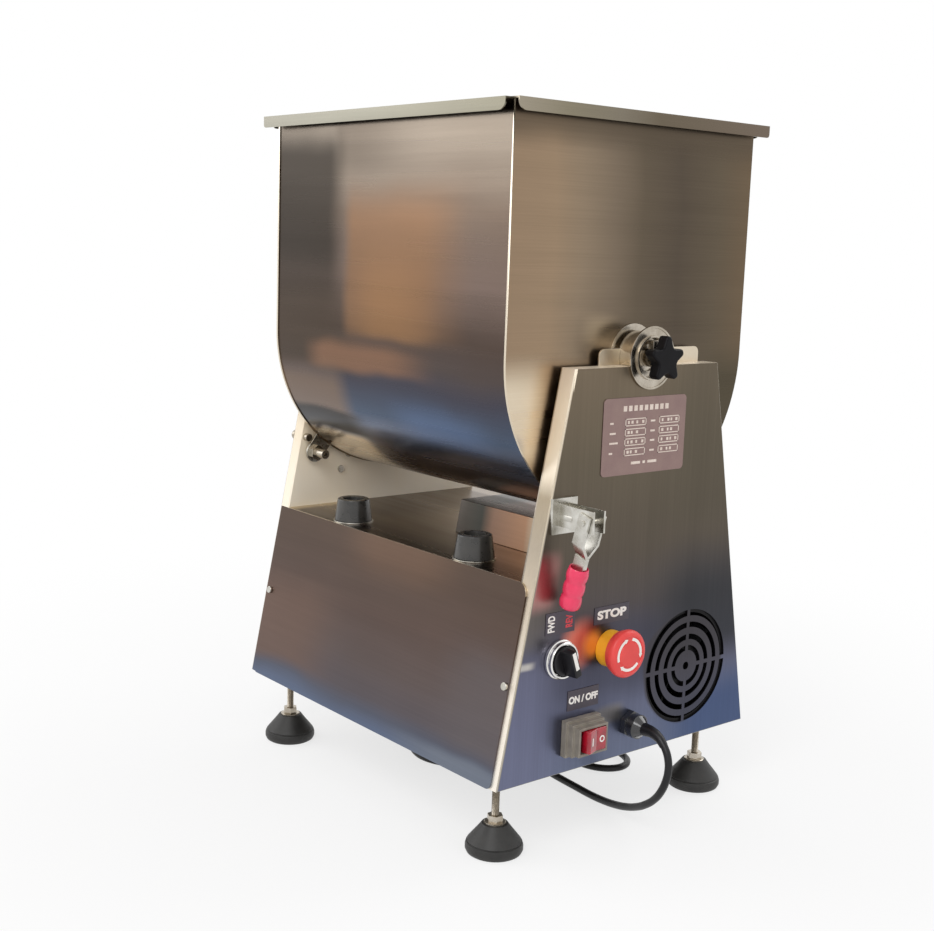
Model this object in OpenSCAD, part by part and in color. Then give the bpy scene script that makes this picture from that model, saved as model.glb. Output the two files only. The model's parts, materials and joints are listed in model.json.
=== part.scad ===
// Table-top tilting meat mixer: a steel tank hung between two end towers.
// Sizes in mm. X runs along the mixing shaft, the front is -Y, Z is up, Z 0 is the table.

/* [Stand] */
// Distance from the tank's end to the outer face of a tower
tank_side = 20; // [16:0.5:60]
// Depth of the control tower along the shaft
right_depth = 15.4; // [12:0.1:30]
// Depth of the drive tower along the shaft
left_depth = 13.7; // [12:0.1:30]
// Half of the depth of a tower at its top
top_half_depth = 76; // [50:1:120]
// Height of the lower edge of the stand
body_bottom = 61; // [40:1:100]
// How far the control tower stays under the shaft's middle line
right_drop = 6; // [0:0.5:30]
// How far the drive tower stands over the shaft's middle line
left_rise = 44; // [30:1:120]
// Height of the deck over the lower edge of the stand
deck_rise = 148; // [110:1:220]
// Thickness of the folded sheets
sheet = 1.5; // [0.8:0.1:3]
// Where the front panel stops inside a tower's face
panel_step = 7; // [4:0.5:13]
// Radius of the front panel's upper corners
panel_corner = 9; // [3:0.5:20]
// Radius of the front panel's lower corners
panel_foot_corner = 4; // [1:0.5:12]

/* [Tank] */
// Half of the length of the tank over its end plates
tank_half = 150; // [100:1:240]
// Radius of the tank's round bottom
tank_radius = 125; // [80:1:180]
// Gap between the deck and the tank's round bottom
deck_gap = 34; // [30:1:90]
// Height of the rim over the shaft's middle line
rim_rise = 177; // [100:1:260]
// Thickness of an end plate
end_sheet = 2; // [1:0.1:4]
// Thickness of the wrapped sheet
wrap_sheet = 1.2; // [0.8:0.1:3]
// How far the end plates stand proud of the wrapped sheet
wrap_step = 0.8; // [0.2:0.1:3]
// How far the rim is folded out
rim_out = 9; // [4:0.5:20]
// How far the rim is folded down
rim_drop = 9; // [4:0.5:20]
// Seam between two rim sides
rim_seam = 0.2; // [0.1:0.1:2]
// How far an end rim runs past the tank's side at an open corner
rim_past = 4.4; // [1:0.1:9]
// How far an end rim stops short of the back rim's outer face
rim_back_step = 1; // [0:0.5:8]
// Radius of the rim's corners beside a notch
rim_round = 7; // [2:0.5:9]
// Radius of the rim's other corners
rim_small_round = 2.5; // [1:0.5:6]

/* [Shaft and bearings] */
// Radius of the mixing shaft
shaft_radius = 10; // [6:0.5:16]
// Where the full shaft stops inside the control tower's face
shaft_step = 4; // [2:0.5:10]
// Radius of the shaft's turned-down end
stub_radius = 6.8; // [3:0.1:10]
// Reach of the turned-down end out of the control tower
stub_reach = 6; // [4:0.5:25]
// Outer radius of a trunnion tube
trunnion_radius = 15; // [12:0.5:24]
// Radius of a trunnion's flange
trunnion_flange = 24; // [16:0.5:40]
// Thickness of a trunnion's flange
trunnion_plate = 1.6; // [1:0.1:3]
// Radius of a bearing housing
bearing_radius = 19; // [16:0.5:30]
// Radius of the bearing's round front plate
disc_radius = 23.5; // [18:0.5:36]
// Thickness of the bearing's round front plate
disc_plate = 1; // [0.5:0.1:5]
// Height of the lips on the front plate
disc_lip = 0.8; // [0.5:0.1:5]
// Width of the lips on the front plate
lip_width = 1.6; // [0.5:0.1:4]
// Radius of the left bearing's flange
left_flange = 26; // [18:0.5:40]
// Radius of the shaft seals
seal_radius = 18; // [12:0.5:30]
// Width of the shaft seals
seal_width = 6; // [3:0.5:12]
// Front end of the raised tab on the inner plate
tab_front = 40; // [20:1:70]
// Back end of the raised tab on the inner plate
tab_back = 68; // [30:1:74]
// How far the raised tab stands over the control tower
tab_rise = 12; // [4:1:40]
// Corner radius of the raised tab
tab_corner = 5; // [1:0.5:10]

/* [Paddles] */
// Gap between a blade and the tank's round bottom
blade_gap = 8; // [3:0.5:30]
// Height of a blade along its arm
blade_height = 36; // [20:1:60]
// Width of a blade
blade_width = 46; // [20:1:80]
// Thickness of a blade
blade_sheet = 4; // [2:0.5:8]
// Turn of the blades out of the shaft's direction
blade_turn = 55; // [0:1:90]
// Radius of an arm
arm_radius = 5; // [3:0.5:10]
// Distance of the outer arms from the tank's ends
arm_inset = 39; // [30:1:90]
// Radius of an arm's hub
hub_radius = 15; // [11:0.5:25]
// Width of an arm's hub
hub_width = 22; // [10:1:40]

/* [Tilt lock and stop] */
// How much nearer the shaft than the tank's radius the lock pins stand, along the depth
lock_front_step = 42; // [20:1:70]
// How much nearer the shaft than the tank's radius the lock pins stand, in height
lock_low_step = 15; // [0:1:40]
// Thickness of a lug
lug_sheet = 2.4; // [1:0.1:5]
// Half width of a lug
lug_half = 9; // [5:0.5:20]
// How far a lug reaches up over the edge of the tank's end
lug_overlap = 15; // [8:0.5:40]
// Radius of the hole in the right lug
lug_hole = 5.2; // [2:0.1:8]
// Radius of the stop pin
pin_radius = 4; // [2:0.1:8]
// Reach of the stop pin under the tank
pin_reach = 16; // [6:0.5:30]
// Radius of the stop pin's bore
pin_bore = 1.5; // [0.5:0.1:3]
// Depth of the stop pin's bore
pin_bore_depth = 6; // [2:0.5:12]
// Distance over the flats of the stop pin's nut
pin_nut = 12; // [7:0.5:20]
// Height of the stop pin's nut
pin_nut_height = 4; // [2:0.5:10]
// Thickness of the stop pin's head
pin_head = 1.2; // [0.8:0.1:2]
// Radius of the fixed stop
stop_radius = 3.5; // [2:0.1:6]
// How much nearer the shaft than the lock pins the fixed stop bears
stop_short = 6.8; // [5:0.1:20]

/* [Deck parts] */
// Distance of the bumpers from the ends of the tank
bumper_inset = 69; // [30:1:120]
// Distance of the bumpers from the deck's front edge
bumper_edge = 17; // [12:0.5:60]
// Radius at the foot of a bumper
bumper_foot = 16; // [8:0.5:30]
// Radius at the top of a bumper
bumper_head = 13.5; // [6:0.5:28]
// Height of a bumper
bumper_height = 18.5; // [8:0.5:40]
// Radius of a bumper's washer
washer_radius = 17; // [9:0.5:32]
// Thickness of a bumper's washer
washer_height = 1; // [0.5:0.1:3]
// Left end of the drive cover on the deck
cover_left = 0; // [-80:1:100]
// Gap between the drive cover and the control tower
cover_gap = 7.1; // [5:0.1:30]
// Distance of the cover's back wall behind the shaft
cover_back = 40; // [20:1:80]
// Distance of the cover's foot in front of the shaft
cover_foot = 42; // [20:1:80]
// Distance of the cover's upper edge in front of the shaft
cover_head = 37; // [15:1:75]
// Height of the drive cover over the deck
cover_rise = 27.4; // [10:0.2:33]

/* [Drive] */
// Height of the output shaft over the stand's lower edge, as a share of the deck's
chain_low_share = 0.6013514; // [0.5:0.0000001:0.7]
// Width of the chain
chain_width = 8; // [5:0.5:10]
// Number of teeth on a sprocket
sprocket_teeth = 22; // [12:1:26]
// Radius of a sprocket's pitch circle
sprocket_pitch = 28; // [20:0.5:40]
// Radius of the output shaft
out_shaft = 8; // [5:0.5:12]
// Pitch radius of the output gear, as a share of the deck's height
out_gear_share = 0.2297297; // [0.15:0.0000001:0.3]
// Pitch radius of the layshaft's large gear, as a share of the deck's height
lay_gear_share = 0.1743243; // [0.1:0.0000001:0.25]
// Pitch radius of the layshaft's pinion
pinion_two = 8; // [6:0.5:12]
// Pitch radius of the motor's pinion
pinion = 6; // [5.2:0.1:10]
// Radius of the layshaft and of the motor's shaft
small_shaft = 5; // [3:0.5:8]
// Direction of the motor's shaft from the layshaft
motor_turn = 20.4; // [0:0.1:60]
// Radius of the motor, as a share of the deck's height
motor_share = 0.3243243; // [0.2:0.0000001:0.36]
// Length of the motor
motor_length = 162; // [100:1:200]
// Length of the gear case along the shaft
case_length = 50; // [40:1:70]
// Gap between the drive tower and the gear case
case_gap = 6.3; // [2:0.1:20]

/* [Controls] */
// Distance of the selector from the stand's front edge
selector_inset = 55; // [40:1:90]
// Height of the selector
selector_height = 151; // [90:1:220]
// Radius of the selector's bezel
bezel_radius = 14.7; // [12:0.1:20]
// Height of the selector's bezel
bezel_height = 7; // [3:0.5:12]
// Radius of the holes for the 22 mm controls
control_hole = 11.1; // [8:0.1:16]
// How far behind the selector the stop button stands
stop_aside = 51; // [38:1:80]
// Radius of the stop button's head
stop_head = 18.2; // [12:0.5:30]
// Radius of the stop button's collar
collar_radius = 14; // [12:0.5:18]
// Height of the stop button's collar
collar_rise = 13; // [8:0.5:20]
// Height of the stop button over the tower
head_rise = 22.5; // [20:0.5:45]
// Travel of the stop button
stop_travel = 4; // [2:0.5:8]
// How far behind the selector the rocker switch stands
rocker_aside = 23.5; // [0:0.5:60]
// Height of the rocker switch
rocker_height = 89; // [80:1:160]
// Width of the rocker switch's frame
frame_w = 35.5; // [32:0.5:45]
// Height of the rocker switch's frame
frame_h = 28; // [25:0.5:40]
// How far the rocker switch's frame stands out
frame_rise = 16.5; // [8:0.5:20]
// Distance of the cable gland in front of the shaft
gland_front = 2; // [-40:1:60]
// Height of the cable gland
gland_height = 86; // [70:1:160]
// Distance of the fan behind the shaft
fan_back = 60; // [48:1:90]
// Distance of the fan from the stand's back edge
fan_inset = 75; // [60:1:130]
// Height of the fan's middle
fan_height = 121; // [90:1:180]
// Half of the fan's size
fan_half = 46; // [30:1:60]
// Depth of the fan
fan_depth = 24; // [15:1:40]

/* [Plate and labels] */
// Front end of the data plate from the shaft
plate_front = 47.2; // [20:0.1:70]
// Back end of the data plate from the shaft
plate_back = 41.2; // [20:0.1:70]
// Distance from the control tower's top to the data plate's lower edge
plate_drop = 80; // [60:0.5:120]
// Height of the data plate
plate_high = 57.4; // [20:0.1:70]
// Corner radius of the data plate
plate_corner = 3.5; // [1:0.5:8]
// Width of the label over the selector
selector_label_w = 29; // [15:0.5:40]
// Height of the label over the selector
selector_label_h = 16.5; // [6:0.5:25]
// Width of the label over the stop button
stop_label_w = 36.5; // [15:0.5:50]
// Height of the label over the stop button
stop_label_h = 13.2; // [5:0.1:20]
// Width of the label over the rocker switch
rocker_label_w = 32; // [15:0.5:40]
// Height of the label over the rocker switch
rocker_label_h = 15.4; // [5:0.1:20]

/* [Push clamp] */
// Height of the clamp's base plate
clamp_plate_height = 26; // [16:1:50]
// Width of the clamp's base plate
clamp_plate_width = 24; // [14:1:50]
// Reach of the clamp's ears
clamp_reach = 37; // [20:1:60]
// Distance of the handle's pivot from the tower
pivot_reach = 29; // [15:1:50]
// Lean of the hanging handle towards the tower
handle_lean = 15.5; // [0:0.5:40]
// Length of the handle from its pivot to its end
handle_length = 69; // [40:1:120]
// Length of the grip
grip_length = 33; // [20:1:80]
// Radius of the grip
grip_radius = 7.4; // [4:0.1:12]
// Movement of the clamp's pin
pin_stroke = 2.4; // [1:0.1:4]

/* [Feet] */
// Distance of a foot from a tower's face
foot_inset = 28; // [22:1:80]
// Distance of a foot from the stand's front and back edge
foot_edge = 24; // [20:1:80]
// Radius of a foot
foot_radius = 22; // [12:0.5:40]
// Height of a foot's rubber
foot_height = 23; // [12:0.5:40]
// Radius of a foot's screw
stud_radius = 3; // [2:0.1:8]

/* [Star knob] */
// Radius to the lobes' middle
knob_lobe_reach = 12.5; // [8:0.5:25]
// Radius of a lobe
knob_lobe = 4.6; // [2:0.1:7]
// Thickness of the knob
knob_height = 9; // [5:0.5:20]

/* [Cable] */
// Diameter of the mains cable
cable_d = 6; // [5:0.1:6.2]

/* [Part shown] */
// Which part to draw

/* [Hidden] */
$fn = 48;
over = 1;
fit = 0.05;
loose = 0.3;
body_half_length = tank_half + tank_side;
foot_half_depth = fan_back + fan_inset;
deck_top = body_bottom + deck_rise;
axis_height = deck_top + deck_gap + tank_radius;
right_top = axis_height - right_drop;
left_top = axis_height + left_rise;
rim_top = axis_height + rim_rise;
tab_top = right_top + tab_rise;
cover_top = deck_top + cover_rise;
plate_low = right_top - plate_drop;
panel_half_width = body_half_length - panel_step;
foot_side = body_half_length - foot_inset;
foot_across = foot_half_depth - foot_edge;
selector_front = foot_half_depth - selector_inset;
stop_front = selector_front - stop_aside;
rocker_front = selector_front - rocker_aside;
blade_reach = tank_radius - blade_gap;
arm_pitch = (tank_half - arm_inset) * 2 / 3;
lock_front = tank_radius - lock_front_step;
lock_height = axis_height - tank_radius + lock_low_step;
lug_root = tank_radius - lug_overlap;
bumper_side = tank_half - bumper_inset;
chain_low = body_bottom + deck_rise * chain_low_share;
out_gear = deck_rise * out_gear_share;
lay_gear = deck_rise * lay_gear_share;
motor_radius = deck_rise * motor_share;
slope = (foot_half_depth - top_half_depth) / (right_top - body_bottom);
bumper_front = foot_half_depth - deck_rise * slope - bumper_edge;
lean = atan(slope);
step = sheet / cos(lean);
right_face = body_half_length;
right_inner = body_half_length - right_depth;
left_inner = -body_half_length + left_depth;
wrap_radius = tank_radius - wrap_step;
front_rim_left = tank_half + rim_out;
rim_short = tank_half - rim_seam;
end_rim_short = tank_radius + rim_past;
end_rim_long = tank_radius + rim_out - rim_back_step;
end_rim_inner = tank_radius - rim_seam / 2;
lug_angle = atan2(axis_height - lock_height, lock_front);
lug_reach = norm([axis_height - lock_height, lock_front]);
stop_reach = lug_reach - stop_short;
chain_gap = 1.2;
chain_from = -body_half_length + sheet + chain_gap;
chain_to = chain_from + chain_width;
chain_slack = 0.4;
chain_plate = 2.8;
tooth_tip = 1.4;
sprocket_tip = sprocket_pitch + tooth_tip;
chain_inner = sprocket_tip + chain_slack;
chain_outer = chain_inner + chain_plate;
mesh_gap = 0.2;
lay_height = chain_low - out_gear - pinion_two - mesh_gap;
motor_reach = lay_gear + pinion + mesh_gap;
motor_back = motor_reach * cos(motor_turn);
motor_height = lay_height + motor_reach * sin(motor_turn);
shaft_from = chain_from + loose;
shaft_right = right_face - shaft_step;
stub_end = right_face + stub_reach;
rivet_rise = 3.5;

function half_depth(z) = foot_half_depth - (z - body_bottom) * slope;

// Puts the middle of the whole machine over the origin
module placed() {
  translate([-(clamp_reach - rivet_rise) / 2, 0, 0]) children();
}

module along_x(from, to) {
  translate([from, 0, 0]) rotate([90, 0, 90]) linear_extrude(height = to - from) children();
}

module along_y(from, to) {
  translate([0, to, 0]) rotate([90, 0, 0]) linear_extrude(height = to - from) children();
}

module rod_x(from, to, r, y = 0, z = 0) {
  translate([from, y, z]) rotate([0, 90, 0]) cylinder(h = to - from, r = r);
}

module rod_y(from, to, r, x = 0, z = 0) {
  translate([x, to, z]) rotate([90, 0, 0]) cylinder(h = to - from, r = r);
}

module rod_z(from, to, r, x = 0, y = 0) {
  translate([x, y, from]) cylinder(h = to - from, r = r);
}

module block(x0, x1, y0, y1, z0, z1) {
  translate([x0, y0, z0]) cube([x1 - x0, y1 - y0, z1 - z0]);
}

module round_rect(x0, x1, y0, y1, r) {
  translate([x0 + r, y0]) square([x1 - x0 - 2 * r, y1 - y0]);
  translate([x0, y0 + r]) square([x1 - x0, y1 - y0 - 2 * r]);
  for (x = [x0 + r, x1 - r], y = [y0 + r, y1 - r]) translate([x, y]) circle(r);
}

module tower_drawing(bottom, top, inset = 0) {
  polygon([
    [-half_depth(bottom) + inset, bottom],
    [half_depth(bottom) - inset, bottom],
    [half_depth(top) - inset, top],
    [-half_depth(top) + inset, top]
  ]);
}

// A folded tray: the outer face with flanges all round
module tower_tray(face, back, top) {
  low = min(face, back);
  high = max(face, back);
  inner_low = face < back ? face + sheet : back - over;
  inner_high = face < back ? back + over : face - sheet;
  difference() {
    along_x(low, high) tower_drawing(body_bottom, top);
    along_x(inner_low, inner_high) tower_drawing(body_bottom + sheet, top - sheet, step);
  }
}

module fan_slots() {
  slot_shares = [[1, 0.89], [0.78, 0.685], [0.566, 0.47], [0.365, 0.276]];
  spoke_share = 0.07;
  centre_share = 0.07;
  spoke = fan_half * spoke_share;
  translate([fan_back, fan_height]) {
    difference() {
      for (s = slot_shares) difference() {
        circle(fan_half * s[0]);
        circle(fan_half * s[1]);
      }
      square([fan_half * 2 + over, spoke], center = true);
      square([spoke, fan_half * 2 + over], center = true);
    }
    circle(fan_half * centre_share);
  }
}

module right_tower_shell() {
  color("silver") placed() difference() {
    tower_tray(right_face, right_inner + sheet, right_top);
    along_x(right_inner, right_face + over) {
      translate([0, axis_height]) circle(bearing_radius + loose);
      translate([-selector_front, selector_height]) circle(control_hole);
      translate([-stop_front, selector_height]) circle(control_hole);
      translate([-gland_front, gland_height]) circle(gland_neck + fit);
      translate([-rocker_front, rocker_height])
        square([rocker_cut_w, rocker_cut_h], center = true);
      translate([-lock_front, lock_height]) circle(pin_radius + loose);
      fan_slots();
    }
    panel_screw_holes();
  }
}

module right_tower_plate() {
  color("silver") placed() difference() {
    along_x(right_inner, right_inner + sheet) {
      tower_drawing(body_bottom, right_top);
      round_rect(-tab_front, tab_back, right_top - 2 * tab_corner, tab_top, tab_corner);
    }
    along_x(right_inner - over, right_inner + sheet + over) {
      translate([0, axis_height]) circle(bearing_radius + fit);
      translate([-lock_front, lock_height]) circle(pin_radius + loose);
      round_rect(-window_front, window_back, window_low, window_high, window_corner);
    }
  }
}

module left_tower_shell() {
  color("silver") placed() difference() {
    tower_tray(-body_half_length, left_inner - sheet, left_top);
    panel_screw_holes();
    rod_x(-body_half_length - over, left_inner, stop_shank + fit, stop_point[0], stop_point[1]);
  }
}

module left_tower_plate() {
  color("silver") placed() difference() {
    along_x(left_inner - sheet, left_inner) tower_drawing(body_bottom, left_top);
    along_x(left_inner - sheet - over, left_inner + over) {
      translate([0, axis_height]) circle(bearing_radius + fit);
      translate([0, chain_low]) circle(out_shaft + loose);
      translate(stop_point) circle(stop_shank + fit);
      for (p = bolt_points) translate(p) circle(bolt_shank + fit);
    }
  }
}

contact_half = 13;
contact_high = 17;
contact_depth = 24;
contact_gap = 18;
contact_to = right_face - contact_gap;
contact_from = contact_to - contact_depth;
control_nut = 14;
control_nut_width = 4;
window_gap = 2;
window_front = selector_front + contact_half + window_gap;
window_back = fan_back + fan_half + window_gap;
window_low = fan_height - fan_half - window_gap;
window_high = selector_height + contact_high + window_gap;
window_corner = 10;
gland_neck = 7;
frame_edge = 4.25;
rocker_cut_w = frame_w - 2 * frame_edge;
rocker_cut_h = frame_h - 2 * frame_edge;
stop_shank = 2.5;
bolt_shank = 2;
bolt_head = 3.2;
bolt_rise = 2.2;
stop_side = lug_half + loose + stop_radius;
stop_point = [
  -stop_reach * cos(lug_angle) - stop_side * sin(lug_angle),
  axis_height - stop_reach * sin(lug_angle) + stop_side * cos(lug_angle)
];
bolt_front = 44;
bolt_up = 44.4;
bolt_pitch = 13.9;
bolt_step = 8;
bolt_step_two = 19;
bolt_points = [
  [-bolt_front, deck_top + bolt_up],
  [-bolt_front - bolt_step, deck_top + bolt_up - bolt_pitch],
  [-bolt_front - bolt_step_two, deck_top + bolt_up + bolt_pitch]
];
screw_edge = 3.1;
screw_side = panel_half_width - screw_edge;
screw_height = 135;
screw_head = 3;
screw_rise = 2.2;
screw_shank = 1.6;
screw_length = 7;

// Places things square to the front or the back panel
module on_panel(x, z, side) {
  translate([x, side * (half_depth(z) + step), z]) rotate([-side * (90 - lean), 0, 0]) children();
}

module panel_screw_holes() {
  for (side = [-1, 1], x = [-screw_side, screw_side]) on_panel(x, screw_height, side)
    translate([0, 0, -screw_length - over])
      cylinder(h = screw_length + 2 * over, r = screw_shank + fit);
}

module panel_sheet(side) {
  difference() {
    intersection() {
      along_x(-panel_half_width, panel_half_width) polygon([
        [side * half_depth(body_bottom), body_bottom],
        [side * (half_depth(body_bottom) + step), body_bottom],
        [side * (half_depth(deck_top) + step), deck_top],
        [side * half_depth(deck_top), deck_top]
      ]);
      along_y(-foot_half_depth - 2 * step, foot_half_depth + 2 * step) panel_outline();
    }
    panel_screw_holes();
    children();
  }
}

module panel_outline() {
  w = panel_half_width;
  difference() {
    round_rect(-w, w, body_bottom, deck_top, panel_corner);
    for (s = [-1, 1]) translate([s * w, body_bottom])
      square(2 * panel_corner, center = true);
  }
  round_rect(-w, w, body_bottom, deck_top - 2 * panel_corner, panel_foot_corner);
}

module front_panel() {
  color("silver") placed() panel_sheet(-1);
}

module back_panel() {
  louvre_count = 5;
  louvre_half = 55;
  louvre_low = 95;
  louvre_pitch = 14;
  louvre_height = 4;
  round_share = 0.49;
  color("silver") placed() panel_sheet(1)
    along_y(top_half_depth, foot_half_depth + 2 * step + over)
      for (i = [0 : louvre_count - 1])
        round_rect(-louvre_half, louvre_half, louvre_low + i * louvre_pitch,
          louvre_low + i * louvre_pitch + louvre_height, louvre_height * round_share);
}

module deck() {
  cover_share = 0.9;
  color("silver") placed() difference() {
    along_x(left_inner, right_inner) tower_drawing(deck_top - sheet, deck_top);
    block(cover_left + 2 * sheet, cover_right - 2 * sheet, -cover_foot * cover_share,
      cover_back * cover_share, deck_top - 2 * sheet, deck_top + over);
    for (s = [-1, 1]) rod_z(deck_top - 2 * sheet, deck_top + over, screw_shank + fit,
      s * bumper_side, -bumper_front);
  }
}

cover_right = right_inner - cover_gap;
cover_slope = (cover_foot - cover_head) / (cover_top - deck_top);

// The raised cover over the drive, open towards the body below
module drive_cover() {
  color("silver") placed() difference() {
    along_x(cover_left, cover_right) polygon([
      [-cover_foot, deck_top],
      [cover_back, deck_top],
      [cover_back, cover_top],
      [-cover_head, cover_top]
    ]);
    along_x(cover_left + sheet, cover_right - sheet) polygon([
      [-cover_foot + sheet + cover_slope * over, deck_top - over],
      [cover_back - sheet, deck_top - over],
      [cover_back - sheet, cover_top - sheet],
      [-cover_head + sheet - cover_slope * sheet, cover_top - sheet]
    ]);
  }
}

module bottom_plate() {
  vent_half = 40;
  vent_pitch = 12;
  vent_width = 4;
  vent_count = 5;
  vent_from = 20;
  color("silver") placed() difference() {
    along_x(left_inner, right_inner) tower_drawing(body_bottom, body_bottom + sheet);
    for (x = [-foot_side, foot_side], y = [-foot_across, foot_across])
      rod_z(body_bottom - over, body_bottom + sheet + over, stud_radius + fit, x, y);
    for (i = [0 : vent_count - 1])
      block(vent_from + i * vent_pitch, vent_from + i * vent_pitch + vent_width,
        -vent_half, vent_half, body_bottom - over, body_bottom + sheet + over);
  }
}

module case_screws() {
  color("gainsboro") placed() for (side = [-1, 1], x = [-screw_side, screw_side])
    on_panel(x, screw_height, side) {
      cylinder(h = screw_rise, r = screw_head);
      translate([0, 0, -screw_length]) cylinder(h = screw_length + screw_rise / 2, r = screw_shank);
    }
}

module tower_bolts() {
  color("gainsboro") placed() for (p = bolt_points) {
    rod_x(left_inner, left_inner + bolt_rise, bolt_head, p[0], p[1]);
    rod_x(left_inner - sheet, left_inner + bolt_rise / 2, bolt_shank, p[0], p[1]);
  }
}

module bumpers() {
  color("dimgray") placed() for (s = [-1, 1])
    translate([s * bumper_side, -bumper_front, deck_top + washer_height])
      cylinder(h = bumper_height, r1 = bumper_foot, r2 = bumper_head);
}

module bumper_washers() {
  color("gainsboro") placed() for (s = [-1, 1]) {
    rod_z(deck_top, deck_top + washer_height, washer_radius, s * bumper_side, -bumper_front);
    rod_z(deck_top - screw_length, deck_top + washer_height / 2, screw_shank,
      s * bumper_side, -bumper_front);
  }
}

module tank_drawing(r, top) {
  translate([0, axis_height]) circle(r);
  translate([-r, axis_height]) square([2 * r, top - axis_height]);
}

// A rim side folded out and down, from one end to the other along X, wall at Y 0
module rim_side(from, to, round_from, round_to) {
  intersection() {
    along_x(from, to) polygon([
      [0, 0],
      [-rim_out, 0],
      [-rim_out, -rim_drop],
      [-rim_out + wrap_sheet, -rim_drop],
      [-rim_out + wrap_sheet, -wrap_sheet],
      [0, -wrap_sheet]
    ]);
    along_y(-rim_out - over, over) {
      difference() {
        translate([from, -rim_drop]) square([to - from, rim_drop]);
        translate([from, -rim_drop]) square(2 * round_from, center = true);
        translate([to, -rim_drop]) square(2 * round_to, center = true);
      }
      translate([from + round_from, -rim_drop + round_from]) circle(round_from);
      translate([to - round_to, -rim_drop + round_to]) circle(round_to);
    }
  }
}

module tank_wrap() {
  color("silver") placed() {
    along_x(-tank_half + end_sheet, tank_half - end_sheet) difference() {
      tank_drawing(wrap_radius, rim_top);
      tank_drawing(wrap_radius - wrap_sheet, rim_top + over);
    }
    translate([0, -wrap_radius, rim_top])
      wrap_rim() rim_side(-front_rim_left, rim_short, rim_small_round, rim_round);
    translate([0, wrap_radius, rim_top]) rotate([0, 0, 180])
      wrap_rim() rim_side(-rim_short, rim_short, rim_round, rim_round);
  }
}

// The rim strip stands a step further out than the wrapped sheet
module wrap_rim() {
  difference() {
    union() {
      translate([0, -wrap_step, 0]) children();
      block(-tank_half + end_sheet, tank_half - end_sheet, -wrap_step - over, over / 2,
        -wrap_sheet, 0);
    }
    block(-tank_half, tank_half, wrap_sheet / 2, over, -2 * wrap_sheet, over);
  }
}

module tank_end(side) {
  along_x(side > 0 ? tank_half - end_sheet : -tank_half,
    side > 0 ? tank_half : -tank_half + end_sheet) difference() {
    tank_drawing(tank_radius, rim_top);
    translate([0, axis_height]) circle(shaft_radius + fit + loose);
  }
}

module tank_end_left() {
  color("silver") placed() {
    tank_end(-1);
    translate([-tank_half, 0, rim_top]) rotate([0, 0, -90])
      rim_side(-end_rim_short, end_rim_inner, rim_round, rim_small_round);
  }
}

module tank_end_right() {
  color("silver") placed() {
    tank_end(1);
    translate([tank_half, 0, rim_top]) rotate([0, 0, 90])
      rim_side(-end_rim_short, end_rim_long, rim_round, rim_small_round);
  }
}

module lug_drawing(hole) {
  translate([0, axis_height]) rotate(180 + lug_angle) difference() {
    union() {
      translate([lug_root, -lug_half]) square([lug_reach - lug_root, 2 * lug_half]);
      translate([lug_reach, 0]) circle(lug_half);
    }
    translate([lug_reach, 0]) circle(hole);
  }
}

module tank_lugs() {
  color("silver") placed() {
    along_x(tank_half, tank_half + lug_sheet) lug_drawing(lug_hole);
    along_x(-tank_half - lug_sheet, -tank_half) lug_drawing(pin_radius + fit);
  }
}

module stop_pin() {
  pin_lip = 2.4;
  color("gainsboro") placed() difference() {
    union() {
      rod_x(-tank_half - lug_sheet - pin_head, -tank_half - lug_sheet, pin_radius + pin_lip,
        -lock_front, lock_height);
      rod_x(-tank_half - lug_sheet - pin_head / 2, -tank_half + pin_reach, pin_radius,
        -lock_front, lock_height);
      translate([-tank_half, -lock_front, lock_height]) rotate([0, 90, 0])
        cylinder(h = pin_nut_height, r = pin_nut / sqrt(3), $fn = 6);
    }
    rod_x(-tank_half + pin_reach - pin_bore_depth, -tank_half + pin_reach + over, pin_bore,
      -lock_front, lock_height);
  }
}

// Fixed stop that the left lug bears on when the tank stands upright
module stop_stud() {
  rivet_lip = 2;
  tip_gap = 1.2;
  color("gainsboro") placed() {
    rod_x(left_inner, -tank_half - tip_gap, stop_radius, stop_point[0], stop_point[1]);
    rod_x(-body_half_length - rivet_rise / 2, left_inner + tip_gap, stop_shank,
      stop_point[0], stop_point[1]);
    rod_x(-body_half_length - rivet_rise, -body_half_length, stop_shank + rivet_lip,
      stop_point[0], stop_point[1]);
  }
}

module trunnions() {
  trunnion_short = 2;
  trunnion_past = 0.2;
  right_stop = right_face - trunnion_short;
  left_stop = left_inner - sheet - trunnion_past;
  color("gainsboro") placed() difference() {
    union() {
      rod_x(tank_half, right_stop, trunnion_radius, 0, axis_height);
      rod_x(tank_half, tank_half + trunnion_plate, trunnion_flange, 0, axis_height);
      rod_x(left_stop, -tank_half, trunnion_radius, 0, axis_height);
      rod_x(-tank_half - trunnion_plate, -tank_half, trunnion_flange, 0, axis_height);
    }
    rod_x(left_stop - over, right_stop + over, shaft_radius + fit, 0, axis_height);
  }
}

module bearing_left() {
  flange_sheet = 2.4;
  hub_past = 0.8;
  hub_from = left_inner - sheet - hub_past;
  color("gainsboro") placed() difference() {
    union() {
      rod_x(hub_from, left_inner + flange_sheet, bearing_radius, 0, axis_height);
      rod_x(left_inner, left_inner + flange_sheet, left_flange, 0, axis_height);
    }
    rod_x(hub_from - over, -tank_half, trunnion_radius + fit, 0, axis_height);
  }
}

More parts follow.
